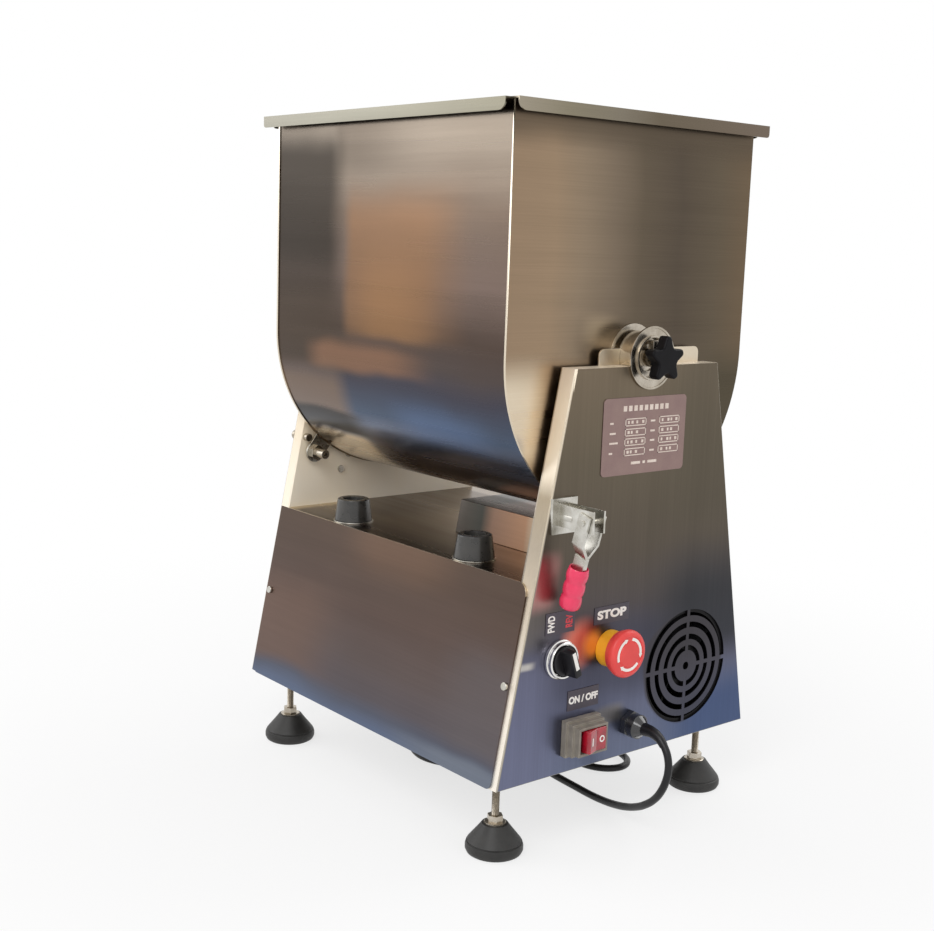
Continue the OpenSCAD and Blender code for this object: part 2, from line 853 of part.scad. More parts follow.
module bearing_right() {
  color("gainsboro") placed() difference() {
    union() {
      rod_x(right_inner, right_face + disc_plate, bearing_radius, 0, axis_height);
      rod_x(right_face, right_face + disc_plate + disc_lip, disc_radius, 0, axis_height);
    }
    rod_x(right_face + disc_plate, right_face + disc_plate + disc_lip + over,
      disc_radius - lip_width, 0, axis_height);
    rod_x(tank_half, right_face + over + disc_plate, trunnion_radius + fit, 0, axis_height);
  }
  color("gainsboro") placed() difference() {
    rod_x(right_face + disc_plate, right_face + disc_plate + 2 * disc_lip,
      trunnion_radius + lip_width, 0, axis_height);
    rod_x(right_face, right_face + disc_plate + 2 * disc_lip + over,
      trunnion_radius + fit, 0, axis_height);
  }
}

module shaft_seals() {
  color("black") placed() for (s = [-1, 1]) difference() {
    rod_x(s > 0 ? tank_half - end_sheet - seal_width : -tank_half + end_sheet,
      s > 0 ? tank_half - end_sheet : -tank_half + end_sheet + seal_width, seal_radius,
      0, axis_height);
    rod_x(-tank_half, tank_half, shaft_radius + fit, 0, axis_height);
  }
}

module mixing_shaft() {
  color("gainsboro") placed() {
    rod_x(shaft_from, shaft_right, shaft_radius, 0, axis_height);
    rod_x(shaft_right - over, stub_end, stub_radius, 0, axis_height);
  }
}

module paddles() {
  arms = 4;
  color("gainsboro") placed() for (i = [0 : arms - 1]) {
    translate([(i - (arms - 1) / 2) * arm_pitch, 0, axis_height])
      rotate([45 + 90 * i, 0, 0]) difference() {
      union() {
        rod_x(-hub_width / 2, hub_width / 2, hub_radius);
        cylinder(h = blade_reach - blade_height / 2, r = arm_radius);
        rotate([0, 0, i < 2 ? blade_turn : -blade_turn])
          translate([-blade_width / 2, -blade_sheet / 2, blade_reach - blade_height])
            cube([blade_width, blade_sheet, blade_height]);
      }
      rod_x(-hub_width, hub_width, shaft_radius + fit / 2);
    }
  }
}

// Block on the shaft's end that keeps it from sliding out
module shaft_lug() {
  lug_length = 5.5;
  lug_half_width = 4.5;
  lug_high = 13;
  color("gainsboro") placed() difference() {
    block(stub_end - lug_length, stub_end, -lug_half_width, lug_half_width, axis_height,
      axis_height + lug_high);
    rod_x(stub_end - lug_length - over, stub_end + over, stub_radius + fit, 0, axis_height);
  }
}

module star_knob() {
  lobes = 5;
  hub_rise = 2.5;
  web_share = 0.93;
  rib_share = 0.9;
  knob_from = stub_end + hub_rise;
  color("black") placed() {
    rod_x(stub_end + fit, knob_from + over, stub_radius, 0, axis_height);
    along_x(knob_from, knob_from + knob_height) translate([0, axis_height]) {
      circle(knob_lobe_reach * web_share);
      for (i = [0 : lobes - 1]) rotate(90 + i * 360 / lobes) {
        translate([knob_lobe_reach, 0]) circle(knob_lobe);
        translate([0, -knob_lobe * rib_share]) square([knob_lobe_reach, 2 * knob_lobe * rib_share]);
      }
    }
  }
}

module sprocket_drawing(bore) {
  roller_share = 0.31;
  roller = roller_share * 2 * PI * sprocket_pitch / sprocket_teeth;
  difference() {
    circle(sprocket_tip);
    for (i = [0 : sprocket_teeth - 1]) rotate(i * 360 / sprocket_teeth)
      translate([sprocket_pitch, 0]) circle(roller);
    circle(bore);
  }
}

module shaft_sprocket() {
  color("dimgray") placed() along_x(chain_from + over, chain_to - over) translate([0, axis_height])
    sprocket_drawing(shaft_radius + fit / 2);
}

module motor_sprocket() {
  color("dimgray") placed() along_x(chain_from + over, chain_to - over) translate([0, chain_low])
    sprocket_drawing(out_shaft + fit / 2);
}

// The drive chain as one closed band just outside the teeth
module chain() {
  color("dimgray") placed() along_x(chain_from, chain_to) difference() {
    loop_drawing(chain_outer);
    loop_drawing(chain_inner);
  }
}

module loop_drawing(r) {
  translate([0, axis_height]) circle(r);
  translate([0, chain_low]) circle(r);
  translate([-r, chain_low]) square([2 * r, axis_height - chain_low]);
}

case_wall = 4;
case_from = left_inner + case_gap;
case_to = case_from + case_length;
gear_in = case_from + case_wall;
gear_out = case_to - case_wall;
gear_space = 2;
face_share = 0.38;
gear_face = (gear_out - gear_in) * face_share;
motor_cap = 3;
motor_from = case_to;
motor_to = motor_from + motor_length;

module output_shaft() {
  color("gray") placed() {
    rod_x(chain_from, case_to - over, out_shaft, 0, chain_low);
    rod_x(gear_in + gear_space, gear_in + gear_space + gear_face, out_gear, 0, chain_low);
  }
}

module layshaft() {
  color("gray") placed() {
    rod_x(case_from + over, case_to - over, small_shaft, 0, lay_height);
    rod_x(gear_in + gear_space - loose, gear_in + gear_space + gear_face + loose, pinion_two,
      0, lay_height);
    rod_x(gear_out - gear_space - gear_face, gear_out - gear_space, lay_gear, 0, lay_height);
  }
}

module motor_rotor() {
  core_share = 0.62;
  core_gap = 30;
  color("gray") placed() {
    rod_x(gear_out - gear_space - gear_face, motor_to - gear_space, small_shaft,
      motor_back, motor_height);
    rod_x(gear_out - gear_space - gear_face, case_to - over, pinion, motor_back, motor_height);
    rod_x(motor_from + core_gap, motor_to - core_gap, motor_radius * core_share,
      motor_back, motor_height);
  }
}

module gear_case() {
  case_front = 50;
  case_back = 70;
  case_low = 75;
  case_high = 192;
  foot_share = 0.5;
  color("gray") placed() difference() {
    union() {
      block(case_from, case_to, -case_front, case_back, case_low, case_high);
      block(case_from, case_to, -case_front * foot_share, case_back * foot_share,
        body_bottom + sheet, case_low + over);
    }
    block(gear_in, gear_out, -case_front + case_wall, case_back - case_wall,
      case_low + case_wall, case_high - case_wall);
    rod_x(case_from - over, case_to + over, out_shaft + fit, 0, chain_low);
    rod_x(case_from - over, case_to + over, small_shaft + fit, 0, lay_height);
    rod_x(gear_in, case_to + over, pinion + loose, motor_back, motor_height);
  }
}

module motor_housing() {
  bore_share = 0.64;
  foot_gap = 60;
  foot_length = 60;
  foot_half = 25;
  color("gray") placed() difference() {
    union() {
      rod_x(motor_from, motor_to, motor_radius, motor_back, motor_height);
      block(motor_from + foot_gap, motor_from + foot_gap + foot_length, motor_back - foot_half,
        motor_back + foot_half, body_bottom + sheet, motor_height);
    }
    rod_x(motor_from + motor_cap, motor_to - motor_cap, motor_radius * bore_share,
      motor_back, motor_height);
    rod_x(motor_from - over, motor_to + over, small_shaft + fit, motor_back, motor_height);
  }
}

fan_from = right_face - sheet - fan_depth;
fan_hub = 18;
fan_base = 3;
fan_axle = 2;

module fan_frame() {
  corner = 6;
  arm = 5;
  bore_share = 0.94;
  arm_share = 0.97;
  color("black") placed() difference() {
    union() {
      difference() {
        along_x(fan_from, right_face - sheet) round_rect(fan_back - fan_half,
          fan_back + fan_half, fan_height - fan_half, fan_height + fan_half, corner);
        rod_x(fan_from - over, right_face, fan_half * bore_share, fan_back, fan_height);
      }
      rod_x(fan_from, fan_from + fan_base, fan_hub, fan_back, fan_height);
      for (a = [0, 90]) translate([fan_from, fan_back, fan_height]) rotate([a + 45, 0, 0])
        block(0, fan_base, -arm / 2, arm / 2, -fan_half * arm_share, fan_half * arm_share);
    }
    rod_x(fan_from - over, fan_from + fan_base + over, fan_axle + fit, fan_back, fan_height);
  }
}

module fan_rotor() {
  blade_count = 7;
  reach_share = 0.86;
  root_share = 0.6;
  chord = 14;
  blade_thick = 1.6;
  blade_pitch = 40;
  gap = 1;
  from = fan_from + fan_base + gap;
  to = right_face - sheet - 2 * gap;
  color("black") placed() translate([0, fan_back, fan_height]) {
    rod_x(from, to, fan_hub);
    rod_x(fan_from, from + over, fan_axle);
    for (i = [0 : blade_count - 1]) rotate([i * 360 / blade_count, 0, 0])
      translate([(from + to) / 2, 0, 0]) rotate([0, 0, blade_pitch])
        block(-chord / 2, chord / 2, -blade_thick / 2, blade_thick / 2,
          fan_hub * root_share, fan_half * reach_share);
  }
}

module speed_control() {
  board_gap = 20;
  board_length = 54;
  board_front = 90;
  board_back = 20;
  board_rise = 47;
  color("darkgreen") placed() block(right_inner - board_gap - board_length, right_inner - board_gap,
    -board_front, -board_back, body_bottom + sheet, body_bottom + sheet + board_rise);
}

module contact_blocks() {
  color("darkgreen") placed() {
    for (p = [[-selector_front, selector_height], [-stop_front, selector_height]])
      block(contact_from, contact_to, p[0] - contact_half, p[0] + contact_half,
        p[1] - contact_high, p[1] + contact_high);
  }
}

dish_share = 0.8;

module selector_bezel() {
  color("silver") placed() difference() {
    union() {
      rod_x(right_face, right_face + bezel_height, bezel_radius, -selector_front, selector_height);
      rod_x(contact_to, right_face + over, control_hole - fit, -selector_front, selector_height);
      rod_x(right_face - sheet - control_nut_width, right_face - sheet, control_nut,
        -selector_front, selector_height);
    }
    rod_x(right_face + bezel_height / 2, right_face + bezel_height + over,
      bezel_radius * dish_share, -selector_front, selector_height);
  }
}

module selector_knob() {
  knob_turned = 20;
  lever = 7;
  lever_rise = 12;
  disc_rise = 1;
  lever_share = 0.94;
  dish = bezel_radius * dish_share - loose;
  color("black") placed() {
    rod_x(right_face + bezel_height / 2 + loose, right_face + bezel_height + disc_rise, dish,
      -selector_front, selector_height);
    translate([0, -selector_front, selector_height]) rotate([knob_turned, 0, 0])
      block(right_face + bezel_height, right_face + bezel_height + lever_rise, -lever / 2,
        lever / 2, -dish * lever_share, dish * lever_share);
  }
}

stop_bore = 8;
head_gap = 1;
head_from = right_face + collar_rise - head_gap;
head_to = right_face + head_rise;

module estop_collar() {
  bore_gap = 3;
  color("gold") placed() difference() {
    union() {
      rod_x(right_face, right_face + collar_rise, collar_radius, -stop_front, selector_height);
      rod_x(contact_to, right_face + over, control_hole - fit, -stop_front, selector_height);
      rod_x(right_face - sheet - control_nut_width, right_face - sheet, control_nut,
        -stop_front, selector_height);
    }
    rod_x(contact_to + bore_gap, right_face + collar_rise + over, stop_bore + fit,
      -stop_front, selector_height);
  }
}

module estop_head() {
  cone = 5;
  cone_lip = 2.3;
  bevel = 1;
  skirt = head_gap + stop_travel + bevel;
  color("red") placed() {
    difference() {
      union() {
        rod_x(head_from + cone, head_to - bevel, stop_head, -stop_front, selector_height);
        translate([head_from, -stop_front, selector_height]) rotate([0, 90, 0])
          cylinder(h = cone, r1 = collar_radius + cone_lip, r2 = stop_head);
        translate([head_to - bevel, -stop_front, selector_height]) rotate([0, 90, 0])
          cylinder(h = bevel, r1 = stop_head, r2 = stop_head - bevel);
      }
      rod_x(head_from - over, head_from + skirt, collar_radius + loose, -stop_front, selector_height);
    }
    rod_x(right_face - stop_travel, head_from + skirt + over, stop_bore, -stop_front, selector_height);
  }
}

switch_wall = 0.8;
switch_w = rocker_cut_w - 2 * switch_wall;
switch_h = rocker_cut_h - 2 * switch_wall;

module rocker_frame() {
  steps = 3;
  body_back = 20;
  color("gray") placed() difference() {
    union() {
      for (i = [0 : steps - 1])
        block(right_face, right_face + (i + 1) * frame_rise / steps,
          -rocker_front - frame_w / 2 + i * sheet, -rocker_front + frame_w / 2 - i * sheet,
          rocker_height - frame_h / 2 + i * sheet, rocker_height + frame_h / 2 - i * sheet);
      block(right_face - body_back, right_face + over, -rocker_front - rocker_cut_w / 2 + fit,
        -rocker_front + rocker_cut_w / 2 - fit, rocker_height - rocker_cut_h / 2 + fit,
        rocker_height + rocker_cut_h / 2 - fit);
    }
    block(right_face - body_back / 2, right_face + frame_rise + over,
      -rocker_front - switch_w / 2, -rocker_front + switch_w / 2,
      rocker_height - switch_h / 2, rocker_height + switch_h / 2);
  }
}

rocker_tilt = 10;
rocker_axis_share = 1 / 3;
rocker_axis_x = right_face + frame_rise * rocker_axis_share;

module rocker() {
  reach_share = 0.84;
  outer_share = 0.96;
  low_share = 0.6;
  front_share = 0.75;
  dip = 1.6;
  front = frame_rise * front_share;
  reach = switch_w / 2 * reach_share;
  half_h = switch_h / 2 - loose;
  color("red") placed() translate([rocker_axis_x, -rocker_front, rocker_height])
    rotate([90, 0, 0]) rotate([0, rocker_tilt, 0]) along_y(-half_h, half_h) polygon([
      [-dip * 2, -reach * low_share],
      [front * low_share, -reach],
      [front + dip, -reach * outer_share],
      [front, 0],
      [front + dip, reach * outer_share],
      [front * low_share, reach],
      [-dip * 2, reach * low_share]
    ]);
}

module data_plate() {
  plate_sheet = 0.6;
  color("tan") placed() along_x(right_face, right_face + plate_sheet)
    round_rect(-plate_front, plate_back, plate_low, plate_low + plate_high, plate_corner);
}

module label(y, z, w, h) {
  label_sheet = 0.5;
  along_x(right_face, right_face + label_sheet)
    translate([y, z]) square([w, h], center = true);
}

module labels() {
  selector_up = 27.4;
  selector_aside = 0.5;
  stop_up = 26.2;
  stop_label_aside = 1.25;
  rocker_up = 27.3;
  rocker_label_aside = 3;
  color("dimgray") placed() {
    label(-selector_front - selector_aside, selector_height + selector_up,
      selector_label_w, selector_label_h);
    label(-stop_front + stop_label_aside, selector_height + stop_up, stop_label_w, stop_label_h);
    label(-rocker_front + rocker_label_aside, rocker_height + rocker_up,
      rocker_label_w, rocker_label_h);
  }
}

pivot_x = right_face + pivot_reach;
pivot_radius = 2.1;
ear_inner = 4.4;
ear_sheet = 1.6;
fork_sheet = 2;
tail_short = 4;

module clamp_base() {
  plate = 2.5;
  sleeve_end = 16;
  sleeve_wall = 2.4;
  ear_low = 7;
  ear_high = 9;
  half = clamp_plate_width / 2;
  color("gainsboro") placed() translate([0, -lock_front, lock_height]) difference() {
    union() {
      block(right_face, right_face + plate, -half, half, -clamp_plate_height / 2,
        clamp_plate_height / 2);
      rod_x(right_face, right_face + sleeve_end, pin_radius + sleeve_wall);
      for (s = [-1, 1]) block(right_face, right_face + clamp_reach,
        s > 0 ? ear_inner : -ear_inner - ear_sheet, s > 0 ? ear_inner + ear_sheet : -ear_inner,
        -ear_low, ear_high);
    }
    rod_x(right_face - over, right_face + sleeve_end + over, pin_radius + fit);
    rod_y(-half, half, pivot_radius + fit, pivot_x, 0);
  }
}

module clamp_plunger() {
  tip = 0.6;
  tail = 21;
  color("gainsboro") placed()
    rod_x(tank_half + lug_sheet + tip, right_face + tail, pin_radius, -lock_front, lock_height);
}

// Two stamped bars that meet at the grip, hanging from the pivot
module clamp_handle() {
  bar = 11;
  outer = ear_inner + ear_sheet + loose + fork_sheet;
  knee = 16;
  joint = 27;
  head = 6;
  tang_share = 0.96;
  tail = handle_length - tail_short;
  color("gainsboro") placed() translate([pivot_x, -lock_front, lock_height])
    rotate([0, handle_lean, 0]) {
      along_x(-bar / 2, bar / 2) {
        for (s = [-1, 1]) polygon([
          [s * outer, head],
          [s * (outer - fork_sheet), head],
          [s * (outer - fork_sheet), -knee],
          [0, -joint + fork_sheet],
          [0, -joint - fork_sheet],
          [s * outer, -knee - fork_sheet / 2]
        ]);
        translate([-fork_sheet * tang_share, -tail])
          square([2 * fork_sheet * tang_share, tail - joint]);
      }
      rod_y(-outer - over, outer + over, pivot_radius);
    }
}

module clamp_grip() {
  bulges = 3;
  bulge_share = 1.08;
  waist_share = 0.86;
  pitch = grip_length / bulges;
  slot_x = 5.6;
  slot_y = 2.1;
  slot_end = 3.5;
  color("deeppink") placed() translate([pivot_x, -lock_front, lock_height]) rotate([0, handle_lean, 0])
    difference() {
      union() {
        translate([0, 0, pitch / 2 - handle_length])
          cylinder(h = grip_length - pitch, r = grip_radius * waist_share);
        for (i = [0 : bulges - 1]) translate([0, 0, -handle_length + pitch * (i + 0.5)])
          intersection() {
            sphere(r = grip_radius * bulge_share);
            translate([0, 0, -pitch / 2]) cylinder(h = pitch, r = grip_radius * 2);
          }
      }
      block(-slot_x, slot_x, -slot_y, slot_y, -handle_length + slot_end, 0);
    }
}

gland_nut = 11;
gland_reach = 18;
gland_end = right_face + gland_reach;

module gland() {
  nut_to = 5;
  cap_to = 11;
  inner_nut = 4;
  cap_share = 0.86;
  cone_share = 0.8;
  mouth_share = 0.62;
  color("black") placed() translate([0, -gland_front, gland_height]) {
    translate([right_face, 0, 0]) rotate([0, 90, 0])
      cylinder(h = nut_to, r = gland_nut, $fn = 6);
    rod_x(right_face + nut_to / 2, right_face + cap_to, gland_nut * cap_share);
    translate([right_face + cap_to, 0, 0]) rotate([0, 90, 0])
      cylinder(h = gland_end - right_face - cap_to, r1 = gland_nut * cone_share,
        r2 = cable_d * mouth_share);
    rod_x(right_face - sheet - inner_nut * 2, right_face + over, gland_neck);
    translate([right_face - sheet - inner_nut, 0, 0]) rotate([0, 90, 0])
      cylinder(h = inner_nut, r = gland_nut, $fn = 6);
  }
}

cable_floor = 3.1;
cable_route = [
  [188, -2, 86], [194, -2, 86], [202, -2.1, 83.4], [208.4, -2.4, 77.9], [212.6, -2.9, 70.4],
  [213.9, -3.5, 62], [212.4, -3.9, 53], [208, -3.6, 43.5], [200.5, -2.2, 34.3], [190, 0, 26],
  [177, 4, 18.5], [162, 8, 12.3], [146, 12, 7.6], [129, 15.3, 4.5], [112, 17.6, 3.1],
  [95, 19, 3.1], [78, 20.4, 3.1], [61, 22.3, 3.1], [44, 25, 3.1], [27, 28.4, 3.1],
  [10, 32, 3.1], [-6, 35, 3.1], [-17, 37, 3.1], [-24, 37, 3.1]
];
tail_route = [
  [15, 0, 9.7], [15, 8, 9.7], [15, 20, 9.8], [15.5, 31, 9.8], [18.5, 41, 9], [25, 50, 7.2],
  [34, 56, 5.2], [45, 58.5, 3.8], [57, 59, 3.2], [68, 61, 3.1], [77.5, 66, 3.1],
  [84, 74.5, 3.1], [85.5, 85, 3.1], [81, 94.5, 3.1], [72.5, 101, 3.3], [61, 103, 4.8],
  [50, 103, 7.8], [40, 103, 10.8], [34, 103, 11.8], [28, 103, 11.8]
];
coil_middle = [-30, -6];
coil_outer = 43;
coil_inner = 24.25;
coil_last = 45;
coil_rise = 6.6;
turns_in = 2.5;
turns_up = 0.5;
turns_out = 2.75;
rings_per_turn = 24;
coil_lead = 6;

function unit(v) = v / norm(v);

function ring(p, t, ref, r, n) =
  let (a = unit(cross(ref, t)), b = cross(t, a))
  [for (k = [0 : n - 1]) p + r * (cos(k * 360 / n) * a + sin(k * 360 / n) * b)];

function heading(pts, i) =
  unit(i == 0 ? pts[1] - pts[0]
    : i == len(pts) - 1 ? pts[i] - pts[i - 1]
    : unit(pts[i + 1] - pts[i]) + unit(pts[i] - pts[i - 1]));

// One closed tube along a list of points
module tube(pts, r, n, ref) {
  last = len(pts) - 1;
  points = [for (i = [0 : last]) each ring(pts[i], heading(pts, i), ref, r, n)];
  sides = [for (i = [0 : last - 1], k = [0 : n - 1])
    let (a = i * n + k, b = i * n + (k + 1) % n) each [[a, a + n, b + n], [a, b + n, b]]];
  start = [for (k = [1 : n - 2]) [0, k, k + 1]];
  end = [for (k = [1 : n - 2]) [last * n, last * n + k + 1, last * n + k]];
  polyhedron(points = points, faces = concat(sides, start, end));
}

turns_all = turns_in + turns_up + turns_out;

function coil_point(t) =
  let (
    r = t < turns_in ? coil_outer + (coil_inner - coil_outer) * t / turns_in
      : t < turns_in + turns_up ? coil_inner
      : coil_inner + (coil_last - coil_inner) * (t - turns_in - turns_up) / turns_out,
    climb = min(max((t - turns_in) / turns_up, 0), 1),
    angle = 90 + t * 360
  )
  [coil_middle[0] + r * cos(angle), coil_middle[1] + r * sin(angle),
    cable_floor + coil_rise * climb];

coil_count = turns_all * rings_per_turn;
coil_path = concat(
  [coil_point(0) + [coil_lead, 0, 0]],
  [for (i = [0 : coil_count]) coil_point(i / rings_per_turn)],
  [coil_point(turns_all) + [0, coil_lead, 0]]
);

function path_length(pts) =
  len(pts) < 2 ? 0 : [for (i = [1 : len(pts) - 1]) norm(pts[i] - pts[i - 1])]
    * [for (i = [1 : len(pts) - 1]) 1];

half_turn = rings_per_turn / 2;
coil_gap = min([for (i = [0 : len(coil_path) - 1 - half_turn])
  min([for (j = [i + half_turn : len(coil_path) - 1])
    norm(coil_path[i] - coil_path[j])])]) - cable_d;

module cable() {
  color("black") placed() tube(cable_route, cable_d / 2, 10, [0, 1, 0]);
}

module cable_coil() {
  echo(coil_gap = coil_gap, lengths = [path_length(cable_route), path_length(coil_path),
    path_length(tail_route)]);
  color("black") placed() tube(coil_path, cable_d / 2, 6, [0, 0, 1]);
}

module cable_tail() {
  color("black") placed() tube(tail_route, cable_d / 2, 10, [0, 0, 1]);
}

plug_x = 28;
plug_y = 103;
plug_z = 11.8;
plug_relief = 22;
plug_length = 32;

module plug() {
  half_w = 13.5;
  half_h = 11.5;
  corner = 6;
  relief_root = 6.5;
  mouth_share = 0.62;
  color("black") placed() translate([0, plug_y, plug_z]) {
    translate([plug_x - plug_relief - over, 0, 0]) rotate([0, 90, 0])
      cylinder(h = plug_relief + over, r1 = relief_root, r2 = cable_d * mouth_share);
    along_x(plug_x - plug_relief - plug_length, plug_x - plug_relief)
      round_rect(-half_w, half_w, -half_h, half_h, corner);
  }
}

module plug_pins() {
  blade_reach_out = 16;
  blade_w = 6.3;
  blade_t = 1.5;
  blade_gap = 6.35;
  earth_radius = 2.4;
  earth_drop = 6.5;
  face_x = plug_x - plug_relief - plug_length;
  color("gold") placed() translate([0, plug_y, plug_z]) {
    for (s = [-1, 1]) block(face_x - blade_reach_out, face_x, s * blade_gap - blade_t / 2,
      s * blade_gap + blade_t / 2, 0, blade_w);
    rod_x(face_x - blade_reach_out, face_x, earth_radius, 0, -earth_drop);
  }
}

foot_shares = [[0, 0], [0.932, 0], [0.982, 0.052], [1, 0.174], [0.964, 0.2], [0.964, 0.226],
  [1, 0.252], [0.991, 0.391], [0.927, 0.522], [0.8, 0.652], [0.618, 0.757], [0.5, 0.809],
  [0.473, 0.887], [0.436, 1], [0, 1]];
stud_low = 8.2;

module foot_pads() {
  color("dimgray") placed() for (x = [-foot_side, foot_side], y = [-foot_across, foot_across])
    translate([x, y, 0]) difference() {
      rotate_extrude() polygon([for (p = foot_shares) [p[0] * foot_radius, p[1] * foot_height]]);
      rod_z(stud_low - fit, foot_height + over, stud_radius + fit);
    }
}

module foot_studs() {
  stud_past = 15;
  hex_rise = 6;
  hex_flats = 11;
  color("gainsboro") placed() for (x = [-foot_side, foot_side], y = [-foot_across, foot_across]) {
    rod_z(stud_low, body_bottom + stud_past, stud_radius, x, y);
    translate([x, y, foot_height]) cylinder(h = hex_rise, r = hex_flats / sqrt(3), $fn = 6);
  }
}

module foot_nuts() {
  nut_rise = 5;
  nut_flats = 10;
  color("gainsboro") placed() for (x = [-foot_side, foot_side], y = [-foot_across, foot_across])
    translate([x, y, body_bottom + sheet]) difference() {
      cylinder(h = nut_rise, r = nut_flats / sqrt(3), $fn = 6);
      translate([0, 0, -over]) cylinder(h = nut_rise + 2 * over, r = stud_radius + fit);
    }
}

right_tower_shell();
right_tower_plate();
left_tower_shell();
left_tower_plate();
front_panel();
back_panel();
deck();
drive_cover();
bottom_plate();
case_screws();
tower_bolts();
bumpers();
bumper_washers();
tank_wrap();
tank_end_left();
tank_end_right();
tank_lugs();
stop_pin();
stop_stud();
trunnions();
bearing_left();
bearing_right();
shaft_seals();
mixing_shaft();
paddles();
shaft_lug();
star_knob();
shaft_sprocket();
motor_sprocket();
output_shaft();
layshaft();
motor_rotor();
chain();
gear_case();
motor_housing();
fan_frame();
fan_rotor();
speed_control();
contact_blocks();
selector_bezel();
selector_knob();
estop_collar();
estop_head();
rocker_frame();
rocker();
data_plate();
labels();
clamp_base();
clamp_plunger();
clamp_handle();
clamp_grip();
gland();
cable();
cable_coil();
cable_tail();
plug();
plug_pins();
foot_pads();
foot_studs();
foot_nuts();
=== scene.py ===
import json
import math

import bmesh
import bpy
from mathutils import Matrix, Vector


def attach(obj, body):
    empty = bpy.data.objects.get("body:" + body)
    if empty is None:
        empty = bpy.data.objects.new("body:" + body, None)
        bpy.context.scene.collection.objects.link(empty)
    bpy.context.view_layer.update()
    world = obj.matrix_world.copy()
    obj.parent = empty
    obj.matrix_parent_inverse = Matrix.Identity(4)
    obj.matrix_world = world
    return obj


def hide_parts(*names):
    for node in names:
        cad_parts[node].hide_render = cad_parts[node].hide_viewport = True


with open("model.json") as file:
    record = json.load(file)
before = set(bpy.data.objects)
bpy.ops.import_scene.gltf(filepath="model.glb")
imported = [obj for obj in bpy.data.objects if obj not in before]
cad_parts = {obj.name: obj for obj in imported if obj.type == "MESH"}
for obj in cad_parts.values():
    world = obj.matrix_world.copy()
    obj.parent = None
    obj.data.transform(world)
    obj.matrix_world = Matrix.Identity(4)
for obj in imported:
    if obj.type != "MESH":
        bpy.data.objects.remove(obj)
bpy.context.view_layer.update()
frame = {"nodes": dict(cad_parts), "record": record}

nodes = frame["nodes"]
bodyOf = {node: body for body, members in frame["record"]["behaviour"]["bodies"].items() for node in members}
middle = -16.75  # mm, how far the tank's middle stands from the middle of the whole machine
toFrame = Matrix.Translation((middle / 1000, 0, 0)) @ Matrix.Scale(0.001, 4)  # drawing in mm, as in the part
tower = {"face": 170, "low": 61, "high": 362, "foot": 135, "head": 76}  # outer face, heights, half depths
tower["slope"] = (tower["foot"] - tower["head"]) / (tower["high"] - tower["low"])


def at(x, y, z):
    return toFrame @ Vector((x, y, z))


# camera, fitted to the straight edges of the machine
camera = {"place": (860.1, -746.7, 450.2), "right": (0.63443, 0.77223, 0.03408),
          "up": (-0.14815, 0.07820, 0.98587), "back": (0.75865, -0.63051, 0.16401), "lens": 52.61}
eye = bpy.data.objects.new("camera", bpy.data.cameras.new("camera"))
bpy.context.collection.objects.link(eye)
eye.matrix_world = Matrix([(camera["right"][i], camera["up"][i], camera["back"][i], at(*camera["place"])[i])
                           for i in range(3)] + [(0, 0, 0, 1)])
eye.data.lens = camera["lens"]
eye.data.sensor_width = 36
eye.data.clip_end = 20
bpy.context.scene.camera = eye
print("camera placed")


# shader helpers
def linear(hexColour):
    parts = [int(hexColour[i:i + 2], 16) / 255 for i in (1, 3, 5)]
    return tuple(c / 12.92 if c <= 0.04045 else ((c + 0.055) / 1.055) ** 2.4 for c in parts) + (1,)


def add(tree, kind, settings={}, inputs={}, stops=()):
    fresh = tree.nodes.new("ShaderNode" + kind)
    for name, value in settings.items():
        setattr(fresh, name, value)
    for name, value in inputs.items():
        if isinstance(value, bpy.types.NodeSocket):
            tree.links.new(value, fresh.inputs[name])
        else:
            fresh.inputs[name].default_value = value
    for i, (place, colour) in enumerate(stops):
        stop = fresh.color_ramp.elements[i] if i < 2 else fresh.color_ramp.elements.new(place)
        stop.position = place
        stop.color = linear(colour)
    return fresh


def startMaterial(name):
    material = bpy.data.materials.new(name)
    material.use_nodes = True
    tree = material.node_tree
    tree.nodes.clear()
    shader = add(tree, "BsdfPrincipled")
    tree.links.new(shader.outputs[0], add(tree, "OutputMaterial").inputs[0])
    return material, tree, shader, add(tree, "TexCoord").outputs["Object"]


def inFrame(axis, value):
    return (value + (middle if axis == "X" else 0)) / 1000


def softEdge(tree, distance, low, high, start):
    return add(tree, "MapRange", {"interpolation_type": "SMOOTHSTEP"},
               {0: distance, 1: low, 2: high, 3: start, 4: 1 - start}).outputs[0]


def spanSides(tree, apart, span):
    # a span along an axis: axis, start, its softness, end, its softness
    # a round spot on an end face: "round", y, z, radius, its softness
    kind, first, second, last, soft = span
    if kind == "round":
        flat = add(tree, "CombineXYZ", {}, {1: apart.outputs["Y"], 2: apart.outputs["Z"]})
        away = add(tree, "VectorMath", {"operation": "DISTANCE"},
                   {0: flat.outputs[0], 1: (0, first / 1000, second / 1000)})
        return [softEdge(tree, away.outputs["Value"], (last - soft / 2) / 1000, (last + soft / 2) / 1000, 1)]
    ends = ((first, second, 0), (last, soft, 1))
    return [softEdge(tree, apart.outputs[kind], inFrame(kind, edge - width / 2),
                     inFrame(kind, edge + width / 2), start) for edge, width, start in ends]


